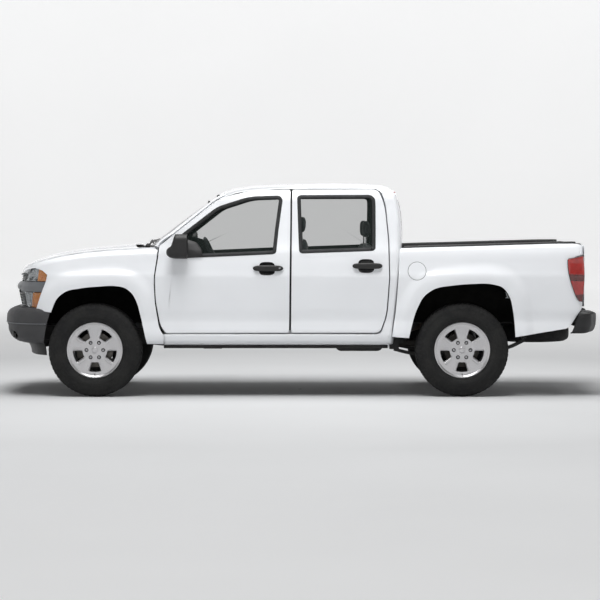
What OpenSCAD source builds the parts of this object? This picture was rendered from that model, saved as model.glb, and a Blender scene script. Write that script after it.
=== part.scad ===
// Crew cab pickup truck with a short cargo bed, at full size in millimetres.
// X runs to the rear, Y to the truck's right and Z up. The origin is on the ground at mid-length.

/* [Wheels] */
// Height of the axles above the ground, which is the tyre's outer radius
tyre_radius = 395; // [390:1:400]
// Width of a tyre across its sidewalls
tyre_width = 265; // [255:1:270]
// Radius of the rim's outer lip
rim_radius = 234; // [228:1:236]
// Distance from the centre plane to the middle of a tyre
half_track = 730; // [725:1:733]
// Position of the front axle along the truck
front_axle_x = -1730; // [-1735:1:-1725]
// Position of the rear axle along the truck
rear_axle_x = 1367; // [1362:1:1372]

/* [Body] */
// Half of the overall length, from the origin to either bumper's face
half_length = 2545; // [2542:1:2548]
// Gap between a door and its neighbours
shut_gap = 9; // [8:1:10]
// Thickness of a whole door
door_thick = 70; // [64:1:71]
// Thickness of a fender or bed skin
skin = 22; // [16:1:24]
// Height of the doors' lower edge
sill_z = 535; // [530:1:540]
// Line of the shut between the front and rear doors
pillar_x = -88; // [-92:1:-84]

/* [Cargo bed] */
// Height of the cargo floor's upper face
cargo_floor_z = 830; // [826:1:834]
// Thickness of the cargo floor
cargo_floor_thick = 24; // [20:1:26]
// Half of the cargo floor's width
cargo_half_width = 716; // [712:1:716]

/* [Steering] */
// Distance from the centre plane to the steering axis
kingpin_y = 630; // [628:1:634]
// Diameter of the steering wheel
steering_wheel_d = 380; // [360:1:390]

/* [Hidden] */

paint = "gainsboro";
plastic = "dimgray";
black = "#202020";
clear = "slategray";
metal = "darkgray";
big = 6000;          // longer than the truck, for cuts that run right through
touch = 1;           // gap between fixed pieces whose faces only come near
round_fn = 48;

// ---- outlines ----

// A corner [x, z, r] between its neighbours, turned into an arc of radius r.
function arc_corner(a, b, c, r, n) =
    let (u = (a - b) / norm(a - b), v = (c - b) / norm(c - b), half = acos(u * v) / 2,
         mid = b + (u + v) / norm(u + v) * r / sin(half),
         p = b + u * r / tan(half) - mid, q = b + v * r / tan(half) - mid,
         from = atan2(p[1], p[0]), turn = atan2(q[1], q[0]) - from,
         sweep = turn > 180 ? turn - 360 : turn < -180 ? turn + 360 : turn)
    [for (i = [0 : n]) mid + r * [cos(from + sweep * i / n), sin(from + sweep * i / n)]];

// A closed outline of corners [x, z, r]; a corner with no radius stays sharp.
function rounded(c, n = 5) =
    let (m = len(c))
    [for (i = [0 : m - 1])
        let (a = c[(i + m - 1) % m], b = c[i], d = c[(i + 1) % m], r = len(b) > 2 ? b[2] : 0)
        each r > 0 ? arc_corner([a[0], a[1]], [b[0], b[1]], [d[0], d[1]], r, n) : [[b[0], b[1]]]];

// A cubic curve with n steps, from a to d, drawn towards b and c.
function curve(a, b, c, d, n = 8) =
    [for (i = [0 : n]) let (t = i / n, s = 1 - t)
        s * s * s * a + 3 * s * s * t * b + 3 * s * t * t * c + t * t * t * d];

// The body's half section, from the rocker up to the roof's crown, taken in by an inset.
half_section = [[790, 441], [830, 468], [846, 540], [852, 690], [858, 880], [856, 1020], [842, 1120],
    [822, 1215], [790, 1290], [736, 1450], [686, 1600], [650, 1695], [612, 1748], [520, 1783],
    [300, 1801], [0, 1805]];
roof_bend_z = 1700;
// An inset draws a point inwards, and towards the roof it lowers it more and more as well.
function inset_point(p, t) = [max(p[0] - t, 0), p[1] - t * min(max((p[1] - 1640) / 120, 0), 1)];
function section(t = 0) = concat(
    [for (p = half_section) inset_point(p, t)],
    [for (i = [len(half_section) - 2 : -1 : 0]) let (q = inset_point(half_section[i], t)) [-q[0], q[1]]]);

// Centreline of hood, windshield, roof and cab back.
hood_nose = [-2440, 1022];
hood_crown = [-2340, 1124];
hood_rear = [-1390, 1279];
hood_line = concat(curve(hood_nose, [-2438, 1075], [-2405, 1100], hood_crown, 5),
    [for (p = curve(hood_crown, [-2160, 1200], [-1850, 1250], hood_rear, 10)) if (p != hood_crown) p]);
glass_foot = [-1264, 1256];
glass_head = [-700, 1700];
roof_line = concat(curve(glass_head, [-610, 1762], [-420, 1805], [200, 1805], 8),
    [for (p = curve([200, 1805], [600, 1805], [800, 1798], [850, 1700], 8)) if (p[0] > 201) p]);
cab_back = [[868, 1560], [872, 1290], [862, 1240], [784, 700], [748, 441]];
cab_outline = concat([[glass_foot[0], 441], glass_foot], roof_line, cab_back);

// Doors, seen from the side.
front_door_outline = rounded([[-1128, sill_z, 40], [-1198, 590, 60], [-1224, 1000, 900], [-1200, 1225],
    [-1190, 1262, 20], [-672, 1668, 160], [-450, 1722, 500], [pillar_x, 1738, 12],
    [pillar_x - 6, 1100, 900], [pillar_x, sill_z, 12]]);
rear_door_outline = rounded([[pillar_x + shut_gap, sill_z, 12], [pillar_x + shut_gap - 6, 1100, 900],
    [pillar_x + shut_gap, 1738, 12], [640, 1738, 90], [730, 1600, 300], [750, 1150, 900],
    [732, 640, 200], [690, sill_z, 50]]);
front_window_outline = rounded([[-1090, 1161, 12], [-1118, 1286, 12], [-690, 1620, 150], [-440, 1686, 500],
    [-143, 1699, 40], [-192, 1208, 28]]);
rear_window_outline = rounded([[0, 1212, 24], [-22, 1699, 28], [641, 1699, 62], [637, 1234, 28]]);

// Wheel arches: a sloping left side, a rounded top and a steeper right side.
front_arch = rounded([[-2178, 580], [-2026, 906, 110], [-1590, 944, 900], [-1408, 950, 115], [-1268, 400],
    [-2178, 400]]);
rear_arch = rounded([[895, 440], [1032, 918, 140], [1420, 962, 900], [1765, 962, 110], [1820, 440]]);

// Side outlines of the fixed outer panels.
fender_outline = rounded([[-2104, 731], [-2232, 731], [-2140, 985, 40], [-2122, 1040, 30], [-2180, 1078, 60],
    [-2322, 1062], [-2306, 1092], [-2085, 1168, 400], [-1700, 1226, 900], [-1199, 1254],
    [-1209, 1225], [-1233, 1000, 900], [-1207, 590, 60], [-1160, sill_z - shut_gap], [-1160, 444]]);
bed_outline = rounded([[775, 470], [838, 1235, 60], [842, 1253], [2376, 1292, 20], [2388, 1170],
    [2258, 1150, 20], [2256, 1080, 200], [2330, 815], [2372, 790], [2368, 748], [2280, 600, 30],
    [2240, 575], [1816, 505], [900, 486]]);

// ---- tools ----

// A prism of a side outline, across the whole truck or between two distances from the centre plane.
module side_prism(outline, y0 = -big / 2, y1 = big / 2)
    translate([0, y1, 0]) rotate([90, 0, 0]) linear_extrude(y1 - y0) polygon(outline);

// A prism of the body's section, between two stations.
module section_prism(inset = 0, x0 = -big / 2, x1 = big / 2)
    translate([x0, 0, 0]) rotate([90, 0, 90]) linear_extrude(x1 - x0) polygon(section(inset));

module block(x0, x1, y0, y1, z0, z1)
    translate([x0, y0, z0]) cube([x1 - x0, y1 - y0, z1 - z0]);

module both_sides() {
    children();
    mirror([0, 1, 0]) children();
}

// side is -1 for the truck's left and 1 for its right; children are drawn for the left.
module on_side(side)
    mirror([0, side > 0 ? 1 : 0, 0]) children();

// A round bar between two points.
module bar(a, b, r) {
    d = b - a;
    translate(a) rotate([0, acos(d[2] / norm(d)), atan2(d[1], d[0])])
        cylinder(h = norm(d), r = r, $fn = round_fn);
}

// A bent pipe through a list of points, with a bead at each bend.
module pipe(points, r) {
    for (i = [1 : len(points) - 1]) bar(points[i - 1], points[i], r);
    for (i = [1 : len(points) - 2]) translate(points[i]) sphere(r = r * 1.08, $fn = round_fn);
}

// A band of a given thickness that follows a line of points, as a side outline.
function band(line, thick) = concat(line, [for (i = [len(line) - 1 : -1 : 0])
    let (a = line[max(i - 1, 0)], b = line[min(i + 1, len(line) - 1)], d = (b - a) / norm(b - a))
    line[i] + thick * [d[1], -d[0]]]);

// ---- chassis ----

rail_in = 300;       // inner and outer faces of a frame rail
rail_out = 370;
rail_outline = [[-2380, 470], [-1420, 430], [-1180, 405], [860, 405], [1020, 600], [2300, 600],
    [2300, 690], [1000, 690], [830, 530], [-1160, 530], [-1380, 560], [-2380, 580]];

module frame_rails() color(black)
    both_sides() side_prism(rail_outline, -rail_out, -rail_in);

module crossmembers() color(black) {
    block(-2330, -2250, -rail_in, rail_in, 480, 570);
    block(-1790, -1670, -rail_in, rail_in, 435, 500);
    block(-860, -660, -rail_in, rail_in, 405, 425);
    block(-840, -680, -200, 200, 368, 405);
    block(110, 190, -rail_in, rail_in, 495, 530);
    block(720, 790, -rail_in, rail_in, 500, 525);
    block(1600, 1660, -rail_in, rail_in, 620, 690);
    block(2240, 2300, -rail_in, rail_in, 610, 690);
    both_sides() block(2250, 2300, -690, -rail_out, 620, 680);
}

engine_x = [-2060, -1400];
gearbox_x = [-1400, -680];
module engine() color(metal) {
    block(engine_x[0], engine_x[1], -250, 250, 520, 1080);
    block(gearbox_x[0], -1150, -200, 200, 480, 760);
    block(-1150, gearbox_x[1], -120, 120, 430, 650);
}

pinion_x = 1200;
module drive_shaft() color(metal)
    bar([gearbox_x[1] + 4, 0, 470], [pinion_x - 4, 0, 405], 38);

module fuel_tank() color(black)
    side_prism(rounded([[300, 376, 50], [300, 522, 30], [706, 522, 30], [706, 376, 50]]), -650, -388);

module exhaust() color(metal) {
    pipe([[-1100, 235, 480], [-1000, 235, 461], [300, 235, 461]], 28);
    side_prism(rounded([[230, 376, 40], [230, 490, 40], [690, 490, 40], [690, 376, 40]]), 110, 290);
    pipe([[620, 200, 452], [820, 200, 470], [1080, 230, 550], [1500, 240, 550], [1860, 640, 540],
        [2040, 765, 520]], 26);
}

drum_r = 150;
module rear_axle() color(black) {
    translate([rear_axle_x, 0, tyre_radius]) rotate([90, 0, 0]) {
        cylinder(h = 2 * 615, r = 42, center = true, $fn = round_fn);
        both_ends(652) cylinder(h = 60, r = drum_r, center = true, $fn = round_fn);
        both_ends(700) cylinder(h = 60, r = 62, center = true, $fn = round_fn);
        both_ends(700) cylinder(h = 2 * (half_track + stub_end - 700), r = stub_r, center = true, $fn = round_fn);
    }
    translate([rear_axle_x, 0, tyre_radius]) sphere(r = 135, $fn = round_fn);
    bar([pinion_x, 0, 405], [rear_axle_x, 0, tyre_radius], 55);
}

// Two copies of a round piece on a turned axis, at a distance either side of the middle.
module both_ends(distance)
    for (s = [-1, 1]) translate([0, 0, s * distance]) children();

spring_y = [400, 460];
spring_line = curve([810, 392], [1120, 300], [1600, 280], [1925, 470], 10);
module suspension() color(black) both_sides() {
    leaf_spring();
    control_arms();
}

module leaf_spring() {
    side_prism(band(spring_line, 26), -spring_y[1], -spring_y[0]);
    block(rear_axle_x - 60, rear_axle_x + 60, -spring_y[1], -spring_y[0], 335, 352);
    side_prism([[770, 380], [770, 470], [850, 470], [850, 380]], -spring_y[1], -rail_out);
    side_prism([[1905, 470], [1925, 640], [1965, 640], [1945, 470]], -spring_y[1], -rail_out);
}

arm_end_y = 600;
module arm(z0, z1, spread, tip)
    translate([front_axle_x, 0, z0]) linear_extrude(z1 - z0)
        polygon([[-spread, -rail_out], [spread, -rail_out], [tip, -arm_end_y], [-tip, -arm_end_y]]);

module control_arms() {
    arm(268, 296, 150, 40);
    arm(500, 522, 110, 30);
    block(front_axle_x - 150, front_axle_x - 110, -rail_out, -rail_in, 268, 430);
    block(front_axle_x + 110, front_axle_x + 150, -rail_out, -rail_in, 268, 430);
    bar([front_axle_x, -440, 297], [front_axle_x, -400, 499], 30);
}

liner_thick = 8;
module liner(outline)
    difference() {
        offset(delta = liner_thick) polygon(outline);
        polygon(outline);
        translate([-big / 2, -big]) square([big, big + 560]);
    }
module wheel_liners() color(black) both_sides()
    translate([0, -475, 0]) rotate([90, 0, 0]) linear_extrude(340)
        liner(rounded([[-2212, 560], [-2160, 960, 220], [-1300, 960, 220], [-1272, 560]]));

// ---- cab ----

aperture = 120;      // depth of the pillars, from the outer skin
layer = 76;          // depth that the doors take up, with their seals
rocker_in = 670;
floor_z = 545;
floor_thick = 25;

// What lies between two depths below the body's surface; a depth less than 0 is outside it.
module layer_between(from, to)
    difference() {
        section_prism(from);
        section_prism(to, -big, big);
    }

module grown(outline, by)
    rotate([90, 0, 0]) linear_extrude(big, center = true) offset(delta = by) polygon(outline);

module cab_shell() color(paint)
    difference() {
        intersection() {
            side_prism(cab_outline);
            section_prism(0, -1300, 1000);
            linear_extrude(big) polygon([[-1300, -900], [798, -900], [802, -830], [872, -640], [872, 640],
                [802, 830], [798, 900], [-1300, 900]]);
        }
        // the cabin, and the way under its floor between the rockers
        intersection() {
            section_prism(aperture, -1400, 828);
            block(-1400, 828, -big, big, floor_z, roof_bend_z - 15);
        }
        // the hollow under the roof, inside the side rails
        intersection() {
            section_prism(62, -1400, 812);
            block(-1400, 812, -525, 525, 1600, 1760);
        }
        block(-1400, 1000, -rocker_in, rocker_in, 400, floor_z);
        // room for doors and front fenders
        intersection() {
            layer_between(-60, layer);
            union() {
                grown(front_door_outline, shut_gap);
                grown(rear_door_outline, shut_gap + 9);
                side_prism([[-1400, 400], [-1155, 400], [-1155, 590], [-1190, 900], [-1184, 1264],
                    [-1400, 1264]]);
            }
        }
        grown(front_door_outline, -34);
        grown(rear_door_outline, -34);
        // rear window and roof skin
        block(700, 1000, -560, 560, 1300, 1672);
        block(-730, 860, -roof_half, roof_half, 1700, 1900);
        // windshield opening
        side_prism([[-1400, 1244], [-1242, 1244], [-690, 1674], [-690, 1800], [-1400, 1800]],
            -glass_half, glass_half);
    }

roof_half = 560;
glass_half = 585;
module roof_panel() color(paint)
    intersection() {
        side_prism(band(roof_line, 24));
        section_prism(0, -698, 870);
        block(-698, 858, -roof_half, roof_half, 1701, 1900);
    }

module cab_floor() color(plastic)
    difference() {
        union() {
            intersection() {
                section_prism(aperture + touch, -1236, 826);
                union() {
                    block(-1236, 826, -big, big, floor_z, floor_z + floor_thick);
                    block(-1236, -1212, -big, big, floor_z, 1180);
                }
            }
            block(-1236, -640, -245, 245, floor_z, 800);
        }
        block(-1300, -665, -220, 220, 400, 775);
    }

module cowl_panel() color(plastic)
    side_prism([[-1380, 1170], [-1380, 1240], [-1272, 1250], [-1240, 1180], [-1262, 1170]], -690, 690);

glass_thick = 8;
module fixed_glass() color(clear) {
    windshield();
    block(846, 846 + glass_thick, -560, 560, 1300, 1672);
}

module windshield()
    intersection() {
        side_prism([glass_foot + [2, 3], glass_head + [-2, -4], glass_head + [7, -11],
            glass_foot + [11, -4]], -glass_half, glass_half);
        section_prism(62, -1300, -600);
    }

dash_outline = rounded([[-1205, 880], [-1205, 1188, 20], [-1000, 1205, 60], [-880, 1120, 60],
    [-900, 930, 60], [-960, 870, 40]]);
module dashboard() color(plastic) {
    side_prism(dash_outline, -655, 655);
    bar([-905, -370, 1095], [-780, -370, 1155], 28);
}

seat_cushion = rounded([[-620, 640, 60], [-625, 800, 60], [-110, 780, 30], [-120, 620, 30]]);
seat_back = rounded([[-130, 700, 50], [-40, 1340, 80], [70, 1350, 60], [105, 1250, 80], [10, 690, 50]]);
seat_head = rounded([[-20, 1370, 30], [-50, 1480, 30], [-10, 1525, 30], [40, 1500, 30], [60, 1370, 30]]);
module seats() color("dimgray") {
    both_sides() {
        side_prism(seat_cushion, -640, -170);
        side_prism(seat_back, -630, -180);
        side_prism(seat_head, -520, -290);
        block(-560, -180, -580, -230, floor_z + floor_thick, 640);
        side_prism([[-20, 1335], [-20, 1385], [30, 1385], [30, 1335]], -430, -380);
    }
    side_prism(rounded([[230, 600, 40], [230, 820, 50], [590, 790, 30], [590, 600, 30]]), -650, 650);
    side_prism(rounded([[560, 720, 40], [505, 1300, 60], [620, 1320, 40], [700, 720, 40]]), -650, 650);
    both_sides() {
        side_prism(rounded([[545, 1330, 20], [530, 1500, 30], [600, 1510, 30], [610, 1330, 20]]), -500, -280);
        side_prism([[560, 1290], [560, 1350], [590, 1350], [590, 1290]], -410, -370);
        block(260, 700, -600, -300, floor_z + floor_thick, 610);
    }
}

// ---- front end ----

// Plan of the nose: a shallow curve across the front and a round corner onto each side.
function nose_plan(front, side, back, bow, corner) = rounded([[back, -side], [front + bow, -side, corner],
    [front + bow * 0.35, -side * 0.45, 500], [front, 0, 2400], [front + bow * 0.35, side * 0.45, 500],
    [front + bow, side, corner], [back, side]], 6);

module nose_shell(front, side, back, bow, corner, thick)
    linear_extrude(big, center = true) difference() {
        polygon(nose_plan(front, side, back, bow, corner));
        polygon(nose_plan(front + thick, side - thick, back + 100, bow, max(corner - thick, 20)));
    }

lamp_back = [[-2236, 738], [-2146, 980], [-2128, 1036], [-2184, 1072], [-2330, 1056], [-2560, 1056],
    [-2560, 738]];
lamp_split_y = 560;
module lamp_zone(z0, z1)
    intersection() {
        side_prism(lamp_back);
        block(-2600, -2000, -big, big, z0, z1);
    }

module front_shell(thick) nose_shell(-2432, 836, -2050, 70, 150, thick);

module grille() color(plastic) {
    intersection() {
        front_shell(50);
        union() {
            lamp_zone(886, 966);
            intersection() {
                lamp_zone(744, 1010);
                block(-2600, -2000, -lamp_split_y, lamp_split_y, 0, 2000);
            }
        }
        // openings either side of the bar are cut below
        difference() {
            block(-2600, -2000, -big, big, 700, 1100);
            for (z = [[775, 865], [985, 1005]])
                block(-2600, -2000, -lamp_split_y + 30, lamp_split_y - 30, z[0], z[1]);
        }
    }
    block(-2379, -2330, -520, 520, 640, 1008);
}

module headlamps() color(clear)
    intersection() {
        front_shell(50);
        union() {
            lamp_zone(744, 885);
            lamp_zone(967, 1060);
        }
        union() {
            block(-2600, -2000, -big, -lamp_split_y - touch, 0, 2000);
            block(-2600, -2000, lamp_split_y + touch, big, 0, 2000);
        }
    }

module arch_flare(arch, width, y_out)
    difference() {
        rotate([90, 0, 0]) translate([0, 0, y_out - 44]) linear_extrude(44) offset(delta = width) polygon(arch);
        rotate([90, 0, 0]) linear_extrude(big, center = true) polygon(arch);
    }

hood_half = 700;
flare_y = 872;
module front_fender() difference() {
    union() {
        intersection() {
            side_prism(fender_outline, -big, 0);
            layer_between(0, skin);
        }
        side_prism(band([[-2306, 1096], [-2085, 1170], [-1700, 1228], [-1274, 1250]], 20), -830, -hood_half);
        intersection() {
            arch_flare(front_arch, 70, flare_y);
            side_prism(fender_outline, -big, 0);
        }
    }
    side_prism(front_arch);
}
module front_fenders() color(paint) both_sides() front_fender();

module front_bumper() color(plastic) {
    intersection() {
        nose_shell(-half_length, 858, -2000, 130, 170, 34);
        side_prism([[-2620, 455], [-2620, 729], [-2104, 727], [-2134, 617], [-2166, 455]]);
    }
    // upper deck behind the face
    intersection() {
        linear_extrude(big, center = true) polygon(nose_plan(-half_length + 30, 826, -2200, 130, 140));
        block(-2600, -2380, -big, big, 700, 728);
    }
    both_sides() block(-2500, -2380 - touch, -rail_out, -rail_in, 480, 570);
    air_dam();
}

module air_dam()
    intersection() {
        nose_shell(-2400, 775, -2190, 80, 120, 20);
        side_prism([[-2600, 454], [-2190, 454], [-2190, 344], [-2330, 352], [-2600, 430]]);
    }

module hood() color(paint)
    intersection() {
        side_prism(band(hood_line, 32), -hood_half + 6, hood_half - 6);
        hood_crown_prism();
    }
// Crown of the hood across the truck.
module hood_crown_prism()
    linear_extrude(big, center = true) polygon([[-2330, -700], [-2425, -500], [-2440, -200], [-2440, 200],
        [-2425, 500], [-2330, 700], [-1390, 700], [-1390, -700]]);

// ---- cargo bed ----

module bed_side() difference() {
    union() {
        intersection() {
            side_prism(bed_outline, -big, 0);
            layer_between(0, skin);
        }
        intersection() {
            arch_flare(rear_arch, 70, flare_y);
            side_prism(bed_outline, -big, 0);
        }
        // top rail and inner wall
        side_prism([[850, 1228], [850, 1252], [2376, 1291], [2376, 1267]], -800, -cargo_half_width - 2);
        side_prism([[862, cargo_floor_z - 24], [862, 1229], [2376, 1268], [2376, cargo_floor_z - 24]],
            -cargo_half_width - 16, -cargo_half_width - 2);
    }
    side_prism(rear_arch);
}
module bed_sides() color(paint) both_sides() bed_side();

tub_x = [rear_axle_x - 452, rear_axle_x + 448];
tub_top = 985;
tub_in = 575;
module bed_floor() color(paint) {
    difference() {
        block(893, 2312, -cargo_half_width, cargo_half_width, cargo_floor_z - cargo_floor_thick, cargo_floor_z);
        both_sides() block(tub_x[0] + 14, tub_x[1] - 14, -big, -tub_in - 14, 0, 2000);
    }
    both_sides() difference() {
        block(tub_x[0], tub_x[1], -cargo_half_width, -tub_in, cargo_floor_z - 1, tub_top);
        block(tub_x[0] + 14, tub_x[1] - 14, -big, -tub_in - 14, 0, tub_top - 14);
    }
    block(893, 911, -cargo_half_width, cargo_half_width, cargo_floor_z - 1, 1236);
    for (x = [940, 1250, 1560, 1870, 2180])
        block(x, x + 60, -560, 560, cargo_floor_z - cargo_floor_thick - 60, cargo_floor_z - cargo_floor_thick + 1);
    for (x = [950, 1260, 2190])
        both_sides() block(x, x + 40, -rail_out, -rail_in, 690, cargo_floor_z - cargo_floor_thick - 59);
}

module tail_lamps() color("firebrick") both_sides()
    side_prism(rounded([[2266, 1144, 20], [2264, 1080, 200], [2338, 822, 14], [2374, 806], [2396, 930],
        [2396, 1080], [2384, 1165, 20]]), -852, -734);

module rear_bumper() color(plastic) difference() {
    union() {
        intersection() {
            linear_extrude(big, center = true) difference() {
                polygon(rounded([[2200, -850], [half_length - 90, -850, 110], [half_length, -560, 500],
                    [half_length, 560, 500], [half_length - 90, 850, 110], [2200, 850]]));
                polygon([[2100, -815], [2440, -800], [2512, -540], [2512, 540], [2440, 800], [2100, 815]]);
            }
            side_prism([[2284, 532], [2350, 702], [2620, 690], [2620, 532]]);
        }
        block(2400, 2515, -520, 520, deck_z[0], deck_z[1]);
        both_sides() block(2300 + touch, 2442, -rail_out, -rail_in, 610, 668);
    }
    block(2420, 2600, -190, 190, deck_z[1], 800);
    translate([ball_hole_x, 0, 600]) cylinder(h = 100, r = ball_hole_r, $fn = round_fn);
    both_sides() translate([2480, -plate_hole_spacing / 2, 600]) rotate([0, 90, 0])
        cylinder(h = 100, r = plate_hole_r, $fn = round_fn);
}
deck_z = [640, 668];
ball_hole_x = 2465;
ball_hole_r = 13;
plate_hole_spacing = 178;
plate_hole_r = 3;

tailgate_x = [2324, 2388];
tailgate_z = [786, 1290];
module tailgate() color(paint) {
    both_sides() bar([2370, -700, 775], [2370, -600, 775], 14);
    side_prism(rounded([[tailgate_x[0], tailgate_z[0]], [tailgate_x[0], tailgate_z[1], 10],
        [tailgate_x[1], tailgate_z[1], 16], [tailgate_x[1], tailgate_z[0]]]), -706, 706);
}

module spare_wheel() color(black)
    translate([2030, 0, 425]) difference() {
        cylinder(h = 160, r = 330, $fn = round_fn);
        translate([0, 0, -1]) cylinder(h = 120, r = 180, $fn = round_fn);
    }

// ---- doors ----

door_skin = 18;      // thickness at a door's edge, outside its inner panel
hinge_y = 846;
module hinge_pins(x)
    intersection() {
        for (z = [780, 980]) translate([x, -hinge_y, z]) cylinder(h = 50, r = 12, $fn = round_fn);
        section_prism(3);
    }

module door(outline, window, hinge_x) color(paint)
    difference() {
        union() {
            hinge_pins(hinge_x);
            intersection() {
                side_prism(outline, -big, 0);
                layer_between(0, door_skin);
            }
            intersection() {
                grown(outline, -26);
                layer_between(door_skin - 1, door_thick);
                block(-big, big, -big, 0, 0, big);
            }
        }
        side_prism(window, -big, 0);
    }

module front_door() door(front_door_outline, front_window_outline, -1200);
module rear_door() door(rear_door_outline, rear_window_outline, -61);

pane_thick = 5;
module door_glass(window) color(clear)
    intersection() {
        side_prism(window, -big, 0);
        layer_between(12, 12 + pane_thick);
    }

module mirror_body() color(plastic)
    difference() {
        union() {
            translate([-1016, -925, 1166]) linear_extrude(205)
                polygon(rounded([[0, -84, 50], [-90, -75, 30], [-100, 75, 20], [66, 84, 15], [66, -84, 15]]));
            side_prism(rounded([[-1090, 1175, 12], [-1080, 1260, 20], [-930, 1290, 60], [-900, 1175, 12]]),
                -872, -760);
        }
        section_prism(-touch);
    }

// ---- wheels ----

bead_r = 214;
module tyre() color(black)
    rotate([90, 0, 0]) rotate_extrude($fn = 96) polygon(tyre_profile());
function tyre_profile() =
    let (w = tyre_width / 2, r = tyre_radius)
    rounded([[bead_r + 24, -w + 34], [r - 95, -w, 60], [r - 14, -w + 28, 26], [r, -w + 50],
        [r, w - 50], [r - 14, w - 28, 26], [r - 95, w, 60], [bead_r + 24, w - 34], [bead_r, w - 36],
        [bead_r, -w + 36]], 4);

spoke_face = 96;     // distance from the wheel's middle plane out to the spokes' face
stub_end = 84;
stub_r = 20;
running_gap = 0.05;
lug_pcd = 139.7;
hub_r = 84;
module rim() color("silver") {
    rotate([90, 0, 0]) difference() {
        union() {
            rotate_extrude($fn = 96) polygon([[rim_radius - 2, -102], [rim_radius - 2, -110],
                [bead_r - 22, -110], [bead_r - 30, 60], [bead_r - 30, 92], [rim_radius - 12, 112],
                [rim_radius, 112], [rim_radius, 103], [bead_r - 1, 101], [bead_r - 1, -102]]);
            translate([0, 0, spoke_face - 60]) cylinder(h = 56, r = hub_r, $fn = round_fn);
            for (a = [0 : 72 : 288]) rotate([0, 0, a + 90]) translate([60, 0, spoke_face - 40])
                linear_extrude(30) polygon([[0, -46], [bead_r - 78, -40], [bead_r - 78, 40], [0, 46]]);
        }
        cylinder(h = stub_end + 2, r = stub_r + running_gap, $fn = round_fn);
        for (a = [0 : 60 : 300]) rotate([0, 0, a]) translate([lug_pcd / 2, 0, 0])
            cylinder(h = 120, r = 8, $fn = round_fn);
    }
}

module at_wheel(x, side)
    translate([x, side * half_track, tyre_radius]) mirror([0, side > 0 ? 1 : 0, 0]) children();

hub_face = 30;       // distance from the wheel's middle plane out to the hub's face
module knuckle() color(metal) {
    rotate([90, 0, 0]) {
        cylinder(h = hub_face, r = 62, $fn = round_fn);
        cylinder(h = stub_end, r = stub_r, $fn = round_fn);
        translate([0, 0, -20]) cylinder(h = 26, r = 150, $fn = round_fn);
        translate([0, 0, -70]) cylinder(h = 90, r = 50, $fn = round_fn);
    }
    for (z = [[-132, -97], [93, 128]])
        translate([0, half_track - kingpin_y, z[0]]) cylinder(h = z[1] - z[0], r = 26, $fn = round_fn);
    block(-22, 22, half_track - kingpin_y - 40, half_track - kingpin_y - 10, -130, 126);
}

wheel_tilt = 25;
module steering_wheel() color(plastic)
    translate([-745, -370, 1171]) rotate([0, 90 - wheel_tilt, 0]) {
        rotate_extrude($fn = 64) translate([steering_wheel_d / 2 - 14, 0]) circle(r = 14, $fn = 24);
        cylinder(h = 50, r = 60, center = true, $fn = round_fn);
        for (a = [0, 130, 230]) rotate([0, 0, a]) translate([50, -14, -8])
            cube([steering_wheel_d / 2 - 62, 28, 14]);
    }

// ---- nodes ----

frame_rails();
crossmembers();
engine();
drive_shaft();
fuel_tank();
exhaust();
rear_axle();
suspension();
wheel_liners();
cab_floor();
cab_shell();
roof_panel();
cowl_panel();
fixed_glass();
grille();
headlamps();
front_fenders();
front_bumper();
rear_bumper();
bed_floor();
bed_sides();
tail_lamps();
seats();
dashboard();
spare_wheel();
hood();
tailgate();
on_side(-1) front_door();  // front_door_left
on_side(1) front_door();  // front_door_right
on_side(-1) rear_door();  // rear_door_left
on_side(1) rear_door();  // rear_door_right
on_side(-1) door_glass(front_window_outline);  // front_glass_left
on_side(1) door_glass(front_window_outline);  // front_glass_right
on_side(-1) door_glass(rear_window_outline);  // rear_glass_left
on_side(1) door_glass(rear_window_outline);  // rear_glass_right
on_side(-1) mirror_body();  // mirror_left
on_side(1) mirror_body();  // mirror_right
at_wheel(front_axle_x, -1) tyre();  // tyre_front_left
at_wheel(front_axle_x, 1) tyre();  // tyre_front_right
at_wheel(rear_axle_x, -1) tyre();  // tyre_rear_left
at_wheel(rear_axle_x, 1) tyre();  // tyre_rear_right
at_wheel(front_axle_x, -1) rim();  // rim_front_left
at_wheel(front_axle_x, 1) rim();  // rim_front_right
at_wheel(rear_axle_x, -1) rim();  // rim_rear_left
at_wheel(rear_axle_x, 1) rim();  // rim_rear_right
at_wheel(front_axle_x, -1) knuckle();  // knuckle_left
at_wheel(front_axle_x, 1) knuckle();  // knuckle_right
steering_wheel();
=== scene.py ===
import math
import bpy
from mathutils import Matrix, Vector
import numpy as np


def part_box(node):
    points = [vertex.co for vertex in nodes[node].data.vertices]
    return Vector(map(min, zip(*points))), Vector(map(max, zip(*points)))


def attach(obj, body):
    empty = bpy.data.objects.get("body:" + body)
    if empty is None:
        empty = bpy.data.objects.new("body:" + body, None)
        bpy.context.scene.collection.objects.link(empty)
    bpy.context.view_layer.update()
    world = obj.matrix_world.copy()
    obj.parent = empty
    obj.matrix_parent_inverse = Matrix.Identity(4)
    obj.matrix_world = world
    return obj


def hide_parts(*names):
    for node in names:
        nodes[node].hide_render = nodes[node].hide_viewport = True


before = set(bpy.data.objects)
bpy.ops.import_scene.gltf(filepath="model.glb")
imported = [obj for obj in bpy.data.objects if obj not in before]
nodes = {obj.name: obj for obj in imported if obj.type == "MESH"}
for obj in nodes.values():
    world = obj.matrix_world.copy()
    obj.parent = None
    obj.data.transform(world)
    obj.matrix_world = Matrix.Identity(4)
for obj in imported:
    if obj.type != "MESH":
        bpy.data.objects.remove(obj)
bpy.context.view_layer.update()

leftRight = (("left", -1), ("right", 1))
tau = 2 * math.pi


# a CAD node's low and high corners
def nodeBox(name):
    return np.array([list(corner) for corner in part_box(name)])


# one grid or line of points from its coordinates, each stretched to the others' shape
def sheet(*coordinates):
    return np.stack(np.broadcast_arrays(*coordinates), -1)


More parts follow.
